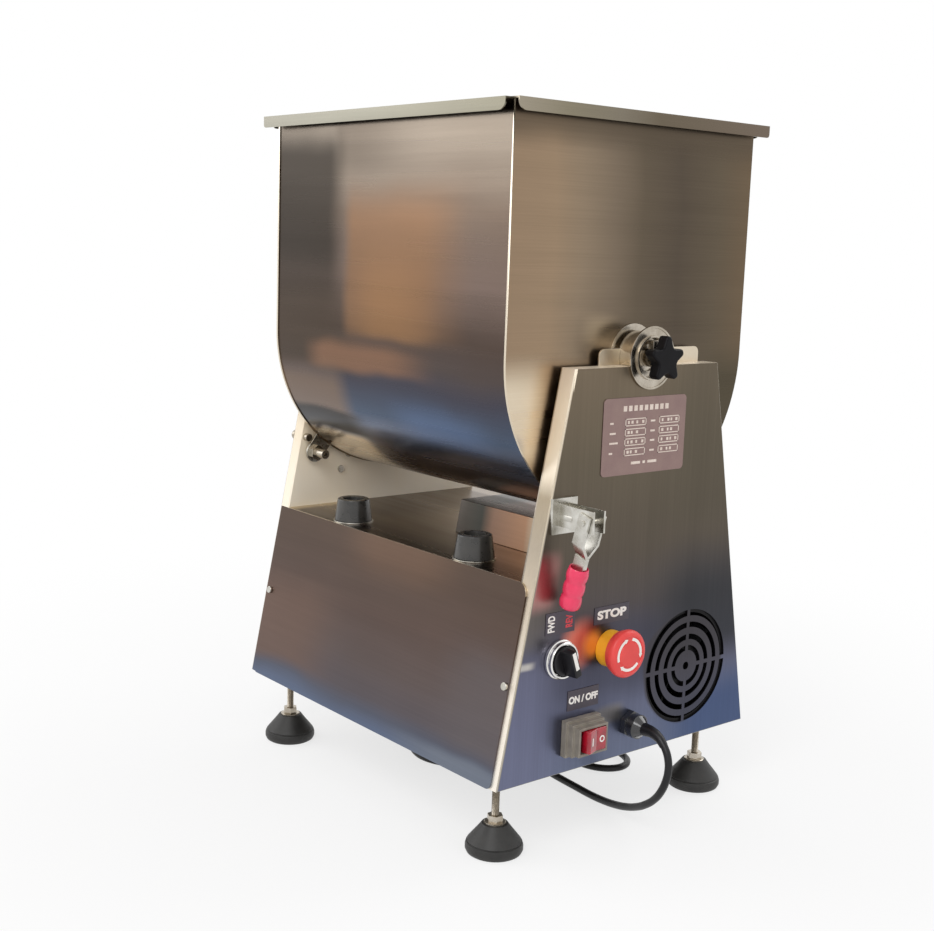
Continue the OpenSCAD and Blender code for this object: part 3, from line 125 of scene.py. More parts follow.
def sheetSteel(name, look):
    # stainless sheet with a brushed finish: long fine streaks, and soft blurred tones of what it mirrors,
    # which are painted reflections in its colour
    material, tree, shader, place = startMaterial(name)
    shader.inputs["Metallic"].default_value = look.get("metal", 1)
    drift = add(tree, "TexNoise", {}, {"Vector": place, "Scale": 9.0, "Detail": 2.0})
    pull = add(tree, "VectorMath", {"operation": "MULTIPLY_ADD"},
               {0: drift.outputs["Color"], 1: (0.03, 0.03, 0.02), 2: place})
    warped = add(tree, "VectorMath", {"operation": "SUBTRACT"}, {0: pull.outputs[0], 1: (0.015, 0.015, 0.01)})
    apart = add(tree, "SeparateXYZ", {}, {0: warped.outputs[0]})
    axis, low, high = look["axis"], look["from"], look["to"]
    height = add(tree, "MapRange", {"clamp": True},
                 {0: apart.outputs[axis], 1: inFrame(axis, low), 2: inFrame(axis, high)})
    base = add(tree, "ValToRGB", {}, {0: height.outputs[0]},
               [((p - low) / (high - low), c) for p, c in look["tones"]])
    tone = base.outputs[0]
    for colour, strength, spans in look.get("mirrored", ()):
        cover = strength
        for span in spans:
            for side in spanSides(tree, apart, span):
                cover = add(tree, "Math", {"operation": "MULTIPLY"}, {0: cover, 1: side}).outputs[0]
        tone = add(tree, "Mix", {"data_type": "RGBA"}, {0: cover, 6: tone, 7: linear(colour)}).outputs[2]
    along = {"x": (3, 260, 260), "y": (260, 3, 260), "z": (260, 260, 3)}[look["grain"]]
    wide = {"x": (1.5, 34, 34), "y": (34, 1.5, 34), "z": (34, 34, 1.5)}[look["grain"]]
    fine = add(tree, "TexNoise", {}, {"Vector": add(tree, "Mapping", {}, {0: place, 3: along}).outputs[0],
                                      "Scale": 3.0, "Detail": 4.0, "Roughness": 0.6})  # 1.3 mm apart
    broad = add(tree, "TexNoise", {}, {"Vector": add(tree, "Mapping", {}, {0: place, 3: wide}).outputs[0],
                                       "Scale": 2.0, "Detail": 3.0, "Roughness": 0.5})  # 15 mm apart
    for noise, strength in ((fine, look["streak"]), (broad, look["streak"]), (drift, look["cloud"])):
        grey = add(tree, "ValToRGB", {}, {0: noise.outputs[0]}, [(0.3, "#969696"), (0.7, "#dadada")])
        tone = add(tree, "Mix", {"data_type": "RGBA", "blend_type": "OVERLAY"},
                   {0: strength, 6: tone, 7: grey.outputs[0]}).outputs[2]
    tree.links.new(tone, shader.inputs["Base Color"])
    rough = add(tree, "MapRange", {}, {0: broad.outputs[0], 1: 0.3, 2: 0.7,
                                       3: look["rough"] - 0.05, 4: look["rough"] + 0.07})
    tree.links.new(rough.outputs[0], shader.inputs["Roughness"])
    bump = add(tree, "Bump", {}, {"Strength": 0.12, "Distance": 0.00012, "Height": fine.outputs[0]})
    tree.links.new(bump.outputs[0], shader.inputs["Normal"])
    return material


def moulded(name, look):
    # moulded, cast, plated or rubber surface: an even colour that wanders a little, with its own small grain
    material, tree, shader, place = startMaterial(name)
    shader.inputs["Metallic"].default_value = look.get("metal", 0)
    if not look.get("metal"):
        shader.inputs["IOR"].default_value = look.get("ior", 1.5)
    shader.inputs["Coat Weight"].default_value = look.get("coat", 0)
    grain = add(tree, "TexNoise", {}, {"Vector": place, "Scale": 1000 / look["grain"], "Detail": 3.0})
    patch = add(tree, "TexNoise", {}, {"Vector": place, "Scale": 1000 / look["patch"], "Detail": 4.0})
    blend = add(tree, "ValToRGB", {}, {0: patch.outputs[0]}, [(0.3, look["low"]), (0.7, look["high"])])
    speck = add(tree, "ValToRGB", {}, {0: grain.outputs[0]}, [(0.3, "#a4a4a4"), (0.7, "#d0d0d0")])
    tone = add(tree, "Mix", {"data_type": "RGBA", "blend_type": "OVERLAY"},
               {0: look.get("speck", 0.15), 6: blend.outputs[0], 7: speck.outputs[0]})
    tree.links.new(tone.outputs[2], shader.inputs["Base Color"])
    rough = add(tree, "MapRange", {}, {0: patch.outputs[0], 1: 0.3, 2: 0.7,
                                       3: look["rough"] - 0.04, 4: look["rough"] + 0.06})
    tree.links.new(rough.outputs[0], shader.inputs["Roughness"])
    bump = add(tree, "Bump", {}, {"Strength": look.get("bump", 0.15), "Distance": 0.0001,
                                  "Height": grain.outputs[0]})
    tree.links.new(bump.outputs[0], shader.inputs["Normal"])
    return material


# brushed stainless sheets; their tones and mirrored fields are painted reflections, with some painted shade:
# what each sheet would reflect of a workshop
# control tower and drive tower: painted reflections of the workshop around, bluish low down, warm grey higher
# up, with darker and bluish painted fields
towerLook = {
    "axis": "Z", "from": 61, "to": 362, "grain": "z", "rough": 0.34, "streak": 0.13, "cloud": 0.10,
    "tones": [(61, "#6a7288"), (105, "#666a80"), (145, "#585662"), (180, "#565050"), (225, "#5c544b"),
              (300, "#675e50"), (362, "#786b5a")],
    "mirrored": [("#6e7189", 0.75, [("Y", -150, 5, -76, 60), ("Z", 50, 5, 160, 50)]),
                 ("#414250", 0.6, [("Y", -80, 40, 40, 60), ("Z", 112, 30, 170, 34)]),
                 ("#42547a", 0.8, [("Y", 50, 80, 150, 5), ("Z", 50, 5, 104, 40)])]}
driveSteel = sheetSteel("brushedDriveTower", towerLook)
# the control side also carries painted reflections of its buttons, gland and fan, with a darker painted field
# over the fan's guard
towerSteel = sheetSteel("brushedTowerSheet", towerLook | {
    "mirrored": [*towerLook["mirrored"][:2],
                 ("#35373b", 0.85, [("Y", 30, 70, 150, 5), ("Z", 128, 30, 205, 60)]),
                 towerLook["mirrored"][2],
                 ("#77726d", 0.5, [("Y", -150, 5, -96, 36), ("Z", 164, 16, 196, 22)]),
                 ("#b98a84", 0.8, [("Y", -114, 14, -88, 14), ("Z", 192, 14, 230, 16)]),
                 ("#c9c4bd", 0.8, [("Y", -122, 6, -102, 8), ("Z", 148, 3, 153, 4)]),
                 ("#ee937c", 0.8, [("round", -58, 157, 15, 16)]),
                 ("#ffcf9c", 0.8, [("round", -46, 155, 9, 9)]),
                 ("#8f897f", 0.6, [("Y", -36, 16, -8, 12), ("Z", 92, 6, 104, 8)]),
                 ("#464347", 0.8, [("round", 60, 121, 45, 3)]),
                 ("#5b5448", 0.6, [("Y", 20, 70, 150, 5), ("Z", 235, 40, 380, 5)])]})
# bent flanges: the brightest sheet, with less metallic share than steel has, as pale as in the photo
flangeSteel = sheetSteel("brushedFlange", {
    "axis": "Z", "from": 61, "to": 420, "grain": "z", "rough": 0.42, "streak": 0.10, "cloud": 0.08,
    "metal": 0.7,
    # its tones along the height are painted reflections: pale low down and at the top, darker between 235 and
    # 272 mm
    "tones": [(61, "#fbf3e6"), (125, "#f2e8d9"), (165, "#d8cdbd"), (200, "#cabca8"), (235, "#ab9f8e"),
              (272, "#a3957f"), (296, "#f3e6d2"), (420, "#fff3e2")]})
# cut and bent edges: painted highlights, nearly white lines between the sheets, paler higher up
edgeHighlightSteel = sheetSteel("paintedEdgeHighlight", {
    "axis": "Z", "from": 61, "to": 545, "grain": "z", "rough": 0.22, "streak": 0.08, "cloud": 0.12,
    "tones": [(61, "#b7b0a4"), (209, "#c9bda9"), (330, "#dccfba"), (545, "#ebe0cf")]})
# drive tower's inner side: satin sheet; its cream tones are painted light and painted reflections, palest low
# down, and it has no metallic share so that it stays this pale
leftSteel = sheetSteel("leftTowerPaintedLight", {
    "axis": "Z", "from": 200, "to": 412, "grain": "z", "rough": 0.42, "streak": 0.12, "cloud": 0.10,
    "metal": 0,
    "tones": [(200, "#fff6e4"), (240, "#fdf0da"), (280, "#efdfc4"), (412, "#b8a78f")]})
# front and back panels: brown grey painted reflections, with a cool bluish painted reflection along the lower
# edge and softer painted fields across
frontSteel = sheetSteel("brushedFrontPanel", {
    "axis": "Z", "from": 61, "to": 209, "grain": "x", "rough": 0.36, "streak": 0.09, "cloud": 0.10,
    "tones": [(61, "#606b82"), (72, "#585c6a"), (84, "#5c565a"), (112, "#605553"), (150, "#5e4f49"),
              (209, "#594b42")],
    "mirrored": [("#705a4c", 0.8, [("X", -40, 60, 70, 70), ("Z", 184, 30, 220, 5)]),
                 ("#705b51", 0.8, [("X", -180, 5, -72, 80), ("Z", 77, 14, 150, 34)]),
                 ("#676163", 0.6, [("X", 105, 60, 180, 5), ("Z", 76, 18, 152, 34)]),
                 ("#757b86", 0.8, [("X", 70, 90, 180, 5), ("Z", 50, 5, 71, 8)])]})
# deck: painted shade and painted reflections, dark at the front, paler to the back, with a pale strip of
# painted reflection at the drive tower
deckSteel = sheetSteel("brushedDeck", {
    "axis": "Y", "from": -135, "to": 60, "grain": "x", "rough": 0.3, "streak": 0.12, "cloud": 0.10,
    "tones": [(-135, "#5b4d40"), (-98, "#5a4c3f"), (-66, "#8a7a67"), (60, "#978672")],
    "mirrored": [("#665543", 0.8, [("X", -160, 5, -70, 70), ("Y", -56, 30, 90, 5)]),
                 ("#d6c4a4", 0.9, [("X", -170, 5, -146, 14), ("Y", -150, 5, -40, 30)])]})
# drive cover: painted reflections in bands of brown and pale grey side by side
coverSteel = sheetSteel("brushedDriveCover", {
    "axis": "X", "from": 0, "to": 147, "grain": "x", "rough": 0.28, "streak": 0.10, "cloud": 0.08,
    "tones": [(0, "#5b5550"), (12, "#4b4742"), (30, "#3f3f3b"), (44, "#786052"), (84, "#917059"),
              (97, "#a59a86"), (108, "#a29884"), (119, "#62544b"), (147, "#5f5148")]})
# tank's wrapped sheet: the richest painted reflections, dark, tan and blue fields over a round bottom, and a
# pale painted field low at the front
wrapSteel = sheetSteel("brushedTankWrap", {
    "axis": "Z", "from": 243, "to": 545, "grain": "x", "rough": 0.25, "streak": 0.06, "cloud": 0.06,
    "tones": [(243, "#c9bdb4"), (280, "#8d92a6"), (308, "#45546a"), (334, "#464550"), (352, "#564c49"),
              (374, "#53463f"), (412, "#72625a"), (468, "#685a4f"), (514, "#82776b"), (545, "#7b7166")],
    "mirrored": [("#63594f", 0.85, [("X", -66, 14, 10, 110), ("Z", 500, 30, 570, 5)]),
                 ("#4e4238", 0.9, [("X", -170, 5, -46, 80), ("Z", 340, 16, 420, 40)]),
                 ("#342e28", 0.92, [("X", -170, 5, -62, 30), ("Z", 410, 70, 528, 36)]),
                 ("#81634b", 0.9, [("X", -48, 18, 82, 74), ("Z", 371, 18, 478, 44)]),
                 ("#98724f", 0.6, [("X", -26, 50, 50, 70), ("Z", 371, 10, 428, 60)]),
                 ("#8a6852", 0.85, [("X", -98, 34, 42, 80), ("Z", 341, 10, 362, 14)]),
                 ("#7e6a5a", 0.85, [("X", -170, 5, -64, 26), ("Z", 297, 12, 338, 26)]),
                 ("#5a6f93", 0.6, [("X", 10, 50, 108, 50), ("Z", 291, 12, 318, 24)]),
                 ("#2a2828", 0.95, [("X", -170, 5, -56, 40), ("Z", 283, 5, 304, 8)]),
                 ("#fff2de", 0.95, [("X", -170, 5, -62, 20), ("Y", -150, 5, -50, 24),
                                    ("Z", 230, 5, 281, 7)])]})
# tank's end plates: painted reflections, warm and pale at the front, darker to the back, with pale and blue
# painted fields
endSteel = sheetSteel("brushedTankEnd", {
    "axis": "Y", "from": -125, "to": 125, "grain": "y", "rough": 0.3, "streak": 0.12, "cloud": 0.08,
    "tones": [(-125, "#957f68"), (-85, "#99836b"), (-58, "#8d7c68"), (-28, "#7a6c5c"), (2, "#63584a"),
              (45, "#574d42"), (88, "#625748"), (125, "#6c5c49")],
    "mirrored": [("#5c5144", 0.75, [("Y", -150, 5, 150, 5), ("Z", 521, 22, 570, 5)]),
                 ("#dccdb5", 0.95, [("Y", -150, 5, -88, 26), ("Z", 296, 24, 358, 34)]),
                 ("#505c74", 0.6, [("Y", -150, 5, -106, 14), ("Z", 240, 10, 312, 16)]),
                 ("#4b4639", 0.75, [("Y", 80, 50, 150, 5), ("Z", 240, 5, 366, 40)]),
                 ("#c0ab8c", 0.5, [("Y", -44, 22, -18, 22), ("Z", 372, 10, 392, 16)])]})
# folded rim along the tank: greenish grey, even
rimSteel = sheetSteel("brushedRim", {
    "axis": "X", "from": -160, "to": 160, "grain": "x", "rough": 0.28, "streak": 0.08, "cloud": 0.06,
    "tones": [(-160, "#8b887d"), (0, "#868377"), (160, "#797567")]})
# folded rim over the end plates: painted reflections, pale at the front, darker to the back
endRimSteel = sheetSteel("brushedEndRim", {
    "axis": "Y", "from": -135, "to": 135, "grain": "y", "rough": 0.26, "streak": 0.08, "cloud": 0.06,
    "tones": [(-135, "#a29989"), (-80, "#8a826f"), (-30, "#80786a"), (10, "#6d6354"), (135, "#73665a")]})
# inner and lower sheets: plain grey
plainSteel = sheetSteel("brushedInnerSheet", {
    "axis": "Z", "from": 61, "to": 545, "grain": "x", "rough": 0.34, "streak": 0.10, "cloud": 0.12,
    "tones": [(61, "#8b8884"), (209, "#8d857b"), (330, "#c4b7a4"), (374, "#d6c9b4"), (545, "#a39a8d")]})

# zinc plate: pale, with warm and cool clouds that the passivation leaves
zincPlate = moulded("zincPlatedSteel", {"metal": 1, "low": "#b2aea4", "high": "#dad8d1", "rough": 0.27,
                                        "grain": 0.9, "patch": 9, "bump": 0.2})
# turned bar: bright, almost mirror smooth
turnedBar = moulded("turnedStainless", {"metal": 1, "low": "#a49a8b", "high": "#c9c1b4", "rough": 0.22,
                                        "grain": 0.7, "patch": 12, "bump": 0.1})
# chrome plate: bright and cool, the shiniest ring on the panel
chromePlate = moulded("chromePlate", {"metal": 1, "low": "#d8d6d2", "high": "#f0efec", "rough": 0.18,
                                      "grain": 0.8, "patch": 7, "bump": 0.05})
# oiled steel of the drive: dark, half shiny
oiledSteel = moulded("oiledSteel", {"metal": 1, "low": "#3d3a36", "high": "#5b5650", "rough": 0.35,
                                    "grain": 0.8, "patch": 8})
# cast aluminium: pale grey with a sandy grain
castAluminium = moulded("castAluminium", {"metal": 1, "low": "#8b8b8a", "high": "#a3a3a1", "rough": 0.5,
                                          "grain": 0.6, "patch": 10, "bump": 0.5})
# brass pins: yellow and shiny
brass = moulded("brassPins", {"metal": 1, "low": "#b08a45", "high": "#cfae6a", "rough": 0.25,
                              "grain": 0.6, "patch": 5})
# moulded rubber: dull black with a grey bloom where it is handled
rubber = moulded("mouldedRubber", {"low": "#1d1c1b", "high": "#31302e", "rough": 0.5, "grain": 0.5,
                                   "patch": 11, "bump": 0.5, "speck": 0.3})
# the buffers are harder and shinier than the feet
bufferRubber = moulded("polishedRubber", {"low": "#2b2a28", "high": "#3d3b38", "rough": 0.27, "grain": 0.7,
                                          "patch": 9, "bump": 0.25, "coat": 0.25})
# moulded black plastic: dark, with a soft shine
blackPlastic = moulded("mouldedBlackPlastic", {"low": "#141316", "high": "#1d1c1f", "rough": 0.34,
                                               "grain": 0.6, "patch": 10, "bump": 0.3, "ior": 1.38})
# star knob and fan: deep black with a soft face; the walls of the fan's slots take it too, as painted shade
knobPlastic = moulded("mouldedKnobBlack", {"low": "#0b0a0c", "high": "#131215", "rough": 0.42,
                                           "grain": 0.6, "patch": 10, "bump": 0.2, "ior": 1.22})
# gland: black nylon, glossy enough to show hard glints
glandNylon = moulded("glandNylon", {"low": "#121113", "high": "#1c1b1d", "rough": 0.14, "grain": 1.1,
                                    "patch": 6, "bump": 0.7, "ior": 1.5, "coat": 0.8})
# mains cable: black PVC with the slight shine of extruded plastic
cordPlastic = moulded("extrudedPvc", {"low": "#121113", "high": "#1a191c", "rough": 0.33, "grain": 0.8,
                                      "patch": 16, "bump": 0.25, "ior": 1.4})
# turned PTFE: white and waxy
sealPlastic = moulded("turnedPtfe", {"low": "#dcdad4", "high": "#ebe9e4", "rough": 0.45, "grain": 0.6,
                                     "patch": 9})
# moulded red plastic: the strong red of the stop button
redPlastic = moulded("mouldedRedPlastic", {"low": "#e2403e", "high": "#ee4c48", "rough": 0.38,
                                           "grain": 0.7, "patch": 12, "bump": 0.2})
# moulded yellow plastic: the warm yellow of the stop button's collar
yellowPlastic = moulded("mouldedYellowPlastic", {"low": "#f7a81c", "high": "#fdbc34", "rough": 0.38,
                                                 "grain": 0.7, "patch": 12, "bump": 0.2})
# white print: matt and slightly warm
whitePrint = moulded("whitePrint", {"low": "#f0ebe4", "high": "#fbf8f3", "rough": 0.5, "grain": 0.5,
                                    "patch": 6})
# red print: matt
redPrint = moulded("redPrint", {"low": "#cf3440", "high": "#dd4650", "rough": 0.5, "grain": 0.5,
                                "patch": 6})
# clear red acrylic over a lamp: glossy, deep colour
redLens = moulded("redAcrylic", {"low": "#8a0c1e", "high": "#b4122a", "rough": 0.16, "grain": 0.8,
                                 "patch": 7, "coat": 0.6, "bump": 0.05})
# moulded grey plastic: dusty warm grey with a fine grain
framePlastic = moulded("mouldedGreyPlastic", {"low": "#7a7369", "high": "#8f887d", "rough": 0.42,
                                              "grain": 0.6, "patch": 8, "bump": 0.3})
# dipped vinyl: soft, glossy, slightly uneven
dippedVinyl = moulded("dippedVinyl", {"low": "#e22654", "high": "#f03a64", "rough": 0.3, "grain": 1.2,
                                      "patch": 9, "coat": 0.3, "bump": 0.25})
# printed film: dark violet grey, matt
labelFilm = moulded("printedFilm", {"low": "#3f3943", "high": "#4a434d", "rough": 0.45, "grain": 0.6,
                                    "patch": 10})
# anodised foil: pinkish brown, silky
plateFoil = moulded("anodisedFoil", {"metal": 0.85, "low": "#8b7370", "high": "#957e78", "rough": 0.36,
                                     "grain": 0.5, "patch": 14, "bump": 0.15})
# etched line in the plate: pale, half shiny
etchedLine = moulded("etchedLine", {"metal": 0.5, "low": "#d8c7bb", "high": "#e6d8cd", "rough": 0.4,
                                    "grain": 0.5, "patch": 6})
# circuit board: green lacquer
boardGreen = moulded("circuitBoard", {"low": "#1f4a36", "high": "#2a5f46", "rough": 0.4, "grain": 1.5,
                                      "patch": 9, "speck": 0.5})
print("materials made")


# making pieces; all drawing is in mm
def finishPiece(bm, name, materials, body, replaced=(), sharp=32):
    bmesh.ops.transform(bm, matrix=toFrame, verts=bm.verts)
    mesh = bpy.data.meshes.new(name)
    bm.to_mesh(mesh)
    bm.free()
    for material in materials if isinstance(materials, (list, tuple)) else [materials]:
        mesh.materials.append(material)
    for face in mesh.polygons:
        face.use_smooth = True
    mesh.set_sharp_from_angle(angle=math.radians(sharp))
    piece = bpy.data.objects.new(name, mesh)
    bpy.context.collection.objects.link(piece)
    even = piece.modifiers.new("flat faces stay flat", "WEIGHTED_NORMAL")
    even.keep_sharp = True
    even.weight = 100
    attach(piece, body)
    if replaced:
        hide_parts(*replaced)
    return piece


def copyNode(node):
    merge, flat = 0.004, 1.0  # mm and degrees
    source = nodes[node]
    bm = bmesh.new()
    bm.from_mesh(source.data)
    bmesh.ops.transform(bm, matrix=toFrame.inverted() @ source.matrix_world, verts=bm.verts)
    bmesh.ops.remove_doubles(bm, verts=bm.verts, dist=merge)
    bmesh.ops.dissolve_limit(bm, angle_limit=math.radians(flat), verts=bm.verts, edges=bm.edges)
    return bm


def bevelSharp(bm, width, segments, over=40, choose=None, clamp=True):
    edges = [e for e in bm.edges if len(e.link_faces) == 2
             and math.radians(over) < e.calc_face_angle(0) < math.pi
             and (choose is None or choose(e))]
    bmesh.ops.bevel(bm, geom=edges, offset=width, offset_type="OFFSET", segments=segments, profile=0.5,
                    affect="EDGES", clamp_overlap=clamp, material=-1)


def turned(bm, profile, centre, axis, steps=48):
    # profile: (distance along the axis, radius)
    axis = Vector(axis)
    side = axis.orthogonal().normalized()
    made = [bm.verts.new(Vector(centre) + axis * along + side * radius) for along, radius in profile]
    lines = [bm.edges.new(pair) for pair in zip(made, made[1:])]
    bmesh.ops.spin(bm, geom=made + lines, cent=centre, axis=axis, dvec=(0, 0, 0), angle=2 * math.pi,
                   steps=steps, use_merge=True)
    fresh = {v for f in bm.faces for v in f.verts} | set(made)
    bmesh.ops.remove_doubles(bm, verts=list(fresh), dist=0.001)
    bmesh.ops.recalc_face_normals(bm, faces=bm.faces)


def thicken(bm, face, way):
    grown = bmesh.ops.extrude_face_region(bm, geom=[face])
    bmesh.ops.translate(bm, vec=way, verts=[v for v in grown["geom"] if isinstance(v, bmesh.types.BMVert)])


def tube(name, radius, fineness, steps, material):
    # steps: (place, share of the radius)
    curve = bpy.data.curves.new(name, "CURVE")
    curve.dimensions = "3D"
    curve.bevel_depth = radius / 1000
    curve.bevel_resolution = fineness
    curve.resolution_u = fineness
    curve.use_fill_caps = True
    spline = curve.splines.new("BEZIER")
    spline.bezier_points.add(len(steps) - 1)
    for point, (spot, share) in zip(spline.bezier_points, steps):
        point.co = at(*spot)
        point.radius = share
        point.handle_left_type = point.handle_right_type = "AUTO"
    curve.materials.append(material)
    piece = bpy.data.objects.new(name, curve)
    bpy.context.collection.objects.link(piece)
    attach(piece, "base")
    return piece


def slab(bm, low, high, rounding=0.0):
    size = [b - a for a, b in zip(low, high)]
    centre = [(a + b) / 2 for a, b in zip(low, high)]
    made = bmesh.ops.create_cube(bm, size=1, matrix=Matrix.Translation(centre) @ Matrix.Diagonal(size + [1]))
    if rounding:
        edges = {e for v in made["verts"] for e in v.link_edges}
        bmesh.ops.bevel(bm, geom=list(edges), offset=rounding, segments=2, profile=0.5,
                        affect="EDGES", clamp_overlap=True, material=-1)


# carried over from the solids: node, piece name, material, edge width, edge segments
carried = [
    ("right_tower_plate", "innerPlateRight", plainSteel, 0.3, 2),
    ("left_tower_plate", "innerPlateLeft", leftSteel, 0.3, 2),
    ("back_panel", "backPanel", frontSteel, 0.4, 2),
    ("bottom_plate", "bottomPlate", plainSteel, 0.3, 2),
    ("deck", "deckSheet", deckSteel, 0.5, 2),
    ("drive_cover", "driveCover", coverSteel, 0.6, 3),
    ("tank_lugs", "tankLugs", zincPlate, 0.3, 2),
    ("stop_pin", "stopPin", turnedBar, 0.3, 2),
    ("stop_stud", "stopStud", turnedBar, 0.3, 2),
    ("trunnions", "trunnionTubes", turnedBar, 0.3, 2),
    ("bearing_left", "bearingLeft", turnedBar, 0.3, 2),
    ("bearing_right", "bearingRight", turnedBar, 0.3, 2),
    ("shaft_seals", "shaftSeals", sealPlastic, 0.3, 2),
    ("mixing_shaft", "mixingShaft", turnedBar, 0.3, 2),
    ("paddles", "mixingPaddles", turnedBar, 0.3, 2),
    ("shaft_lug", "shaftLug", turnedBar, 0.3, 2),
    ("shaft_sprocket", "shaftSprocket", oiledSteel, 0, 0),
    ("motor_sprocket", "motorSprocket", oiledSteel, 0, 0),
    ("output_shaft", "outputShaft", oiledSteel, 0, 0),
    ("layshaft", "layShaft", oiledSteel, 0, 0),
    ("motor_rotor", "motorRotor", oiledSteel, 0, 0),
    ("chain", "rollerChain", oiledSteel, 0, 0),
    ("gear_case", "gearCase", castAluminium, 0, 0),
    ("motor_housing", "motorHousing", castAluminium, 0, 0),
    ("fan_frame", "fanFrame", knobPlastic, 0.25, 1),
    ("fan_rotor", "fanRotor", knobPlastic, 0, 0),
    ("speed_control", "speedControl", boardGreen, 0, 0),
    ("contact_blocks", "contactBlocks", blackPlastic, 0.3, 2),
    ("clamp_base", "clampBase", zincPlate, 0.35, 2),
    ("clamp_plunger", "clampPlunger", zincPlate, 0.3, 2),
    ("clamp_handle", "clampHandle", zincPlate, 0.3, 2),
    ("case_screws", "caseScrews", zincPlate, 0.5, 3),
    ("gland", "cableGland", glandNylon, 0.5, 2),
    ("foot_nuts", "footNuts", zincPlate, 0.3, 2),
    ("plug_pins", "plugPins", brass, 0.3, 2),
    ("bumper_washers", "bumperWashers", zincPlate, 0.2, 2),
    ("tower_bolts", "towerBolts", zincPlate, 0.5, 2),
    ("estop_collar", "stopCollar", yellowPlastic, 0.6, 3),
    ("rocker_frame", "rockerFrame", framePlastic, 0.5, 3),
]
for node, name, material, width, segments in carried:
    bm = copyNode(node)
    if width:
        bevelSharp(bm, width, segments)
    finishPiece(bm, name, material, bodyOf[node], [node])
print("carried pieces made")


# the stand's outer shells: folded from one sheet each, so the front edges are round
deckTop = 209
fan = {"across": 60, "height": 121, "reach": 48}
def towerFaces(face):
    # place in the shell's list of materials
    outerFace, flange, within, bentEdge, lowFlange, slotWallPaintedShade = range(6)
    normal, centre = face.normal, face.calc_center_median()
    across, up = centre.y - fan["across"], centre.z - fan["height"]
    if abs(normal.x) > 0.9 and abs(centre.x) > tower["face"] - 1:
        return outerFace
    # the walls of the fan's slots in the sheet take black plastic: painted shade
    if centre.x > 0 and abs(normal.x) < 0.1 and math.hypot(across, up) < fan["reach"]:
        return slotWallPaintedShade
    if abs(normal.y) > 0.6 or normal.z > 0.8:
        # rounded bends take the painted edge highlight
        if abs(normal.x) >= 0.1:
            return bentEdge
        return lowFlange if centre.z < deckTop and normal.y < 0 else flange
    return within


for node, name, materials in (
        ("right_tower_shell", "controlTowerShell",
         [towerSteel, flangeSteel, plainSteel, edgeHighlightSteel, flangeSteel, knobPlastic]),
        ("left_tower_shell", "driveTowerShell",
         [driveSteel, leftSteel, leftSteel, edgeHighlightSteel, frontSteel])):
    bm = copyNode(node)
    if node == "left_tower_shell":  # its flange changes tone at the deck
        bmesh.ops.bisect_plane(bm, geom=bm.verts[:] + bm.edges[:] + bm.faces[:], dist=0.001,
                               plane_co=(0, 0, deckTop - 0.5), plane_no=(0, 0, 1))
    bevelSharp(bm, 1.5, 4, clamp=False, choose=lambda e: e.calc_length() > 60
               and all(abs(v.co.x) > tower["face"] - 0.1 for v in e.verts))
    bm.normal_update()
    for face in bm.faces:
        face.material_index = towerFaces(face)
    finishPiece(bm, name, materials, "base", [node])

bm = copyNode("front_panel")
bevelSharp(bm, 0.5, 3, over=60)
bm.normal_update()
for face in bm.faces:
    # the top edge and flange take the painted edge highlight
    face.material_index = 1 if face.calc_center_median().z > 200 and face.normal.y > -0.9 else 0
finishPiece(bm, "frontPanel", [frontSteel, edgeHighlightSteel], "base", ["front_panel"])

# tank: one wrapped sheet between two end plates, rims folded over all round
for node, name, sheetTone, rimTone in (("tank_wrap", "tankWrap", wrapSteel, rimSteel),
                                       ("tank_end_left", "tankEndLeft", endSteel, endRimSteel),
                                       ("tank_end_right", "tankEndRight", endSteel, endRimSteel)):
    bm = copyNode(node)
    bm.normal_update()
    for face in bm.faces:
        centre = face.calc_center_median()
        outside = abs(centre.y) > 124.5 if node == "tank_wrap" else abs(centre.x) > 150.1
        # the end plates' edge faces take the painted edge highlight
        edge = node != "tank_wrap" and abs(face.normal.x) < 0.3 and centre.z < 536
        face.material_index = 1 if centre.z > 535 and (outside or face.normal.z > 0.5) else 2 if edge else 0
    bevelSharp(bm, 0.5, 2, over=50, choose=lambda e: e.calc_length() > 3)
    finishPiece(bm, name, [sheetTone, rimTone, edgeHighlightSteel], "tank", [node])
print("shells made")


# mains cable: out of the gland, down to the table, wound up under the stand, its plug behind the machine
# the coil turns inward, climbs on itself, and turns outward again on top
cable = {"radius": 3, "middle": (-30, -6), "outer": 43, "inner": 24.25, "end": 45, "climb": 6.6, "low": 3.1,
         "perTurn": 24, "turns": 5.75, "inward": 2.5, "outward": 3, "length": 1.72,
         "out": [(188, -2, 86), (194, -2, 86), (202, -2.1, 83.4), (208.4, -2.4, 77.9), (212.6, -2.9, 70.4),
                 (213.9, -3.5, 62), (212.4, -3.9, 53), (208, -3.6, 43.5), (200.5, -2.2, 34.3), (190, 0, 26),
                 (177, 4, 18.5), (162, 8, 12.3), (146, 12, 7.6), (129, 15.3, 4.5), (112, 17.6, 3.1),
                 (95, 19, 3.1), (78, 20.4, 3.1), (61, 22.3, 3.1), (44, 25, 3.1), (27, 28.4, 3.1),
                 (10, 32, 3.1), (-6, 35, 3.1), (-17, 37, 3.1), (-24, 37, 3.1)],
         "tail": [(15, 0, 9.7), (15, 8, 9.7), (15, 20, 9.8), (15.5, 31, 9.8), (18.5, 41, 9), (25, 50, 7.2),
                  (34, 56, 5.2), (45, 58.5, 3.8), (57, 59, 3.2), (68, 61, 3.1), (77.5, 66, 3.1),
                  (84, 74.5, 3.1), (85.5, 85, 3.1), (81, 94.5, 3.1), (72.5, 101, 3.3), (61, 103, 4.8),
                  (50, 103, 7.8), (40, 103, 10.8), (34, 103, 11.8), (28, 103, 11.8)]}
wound = []
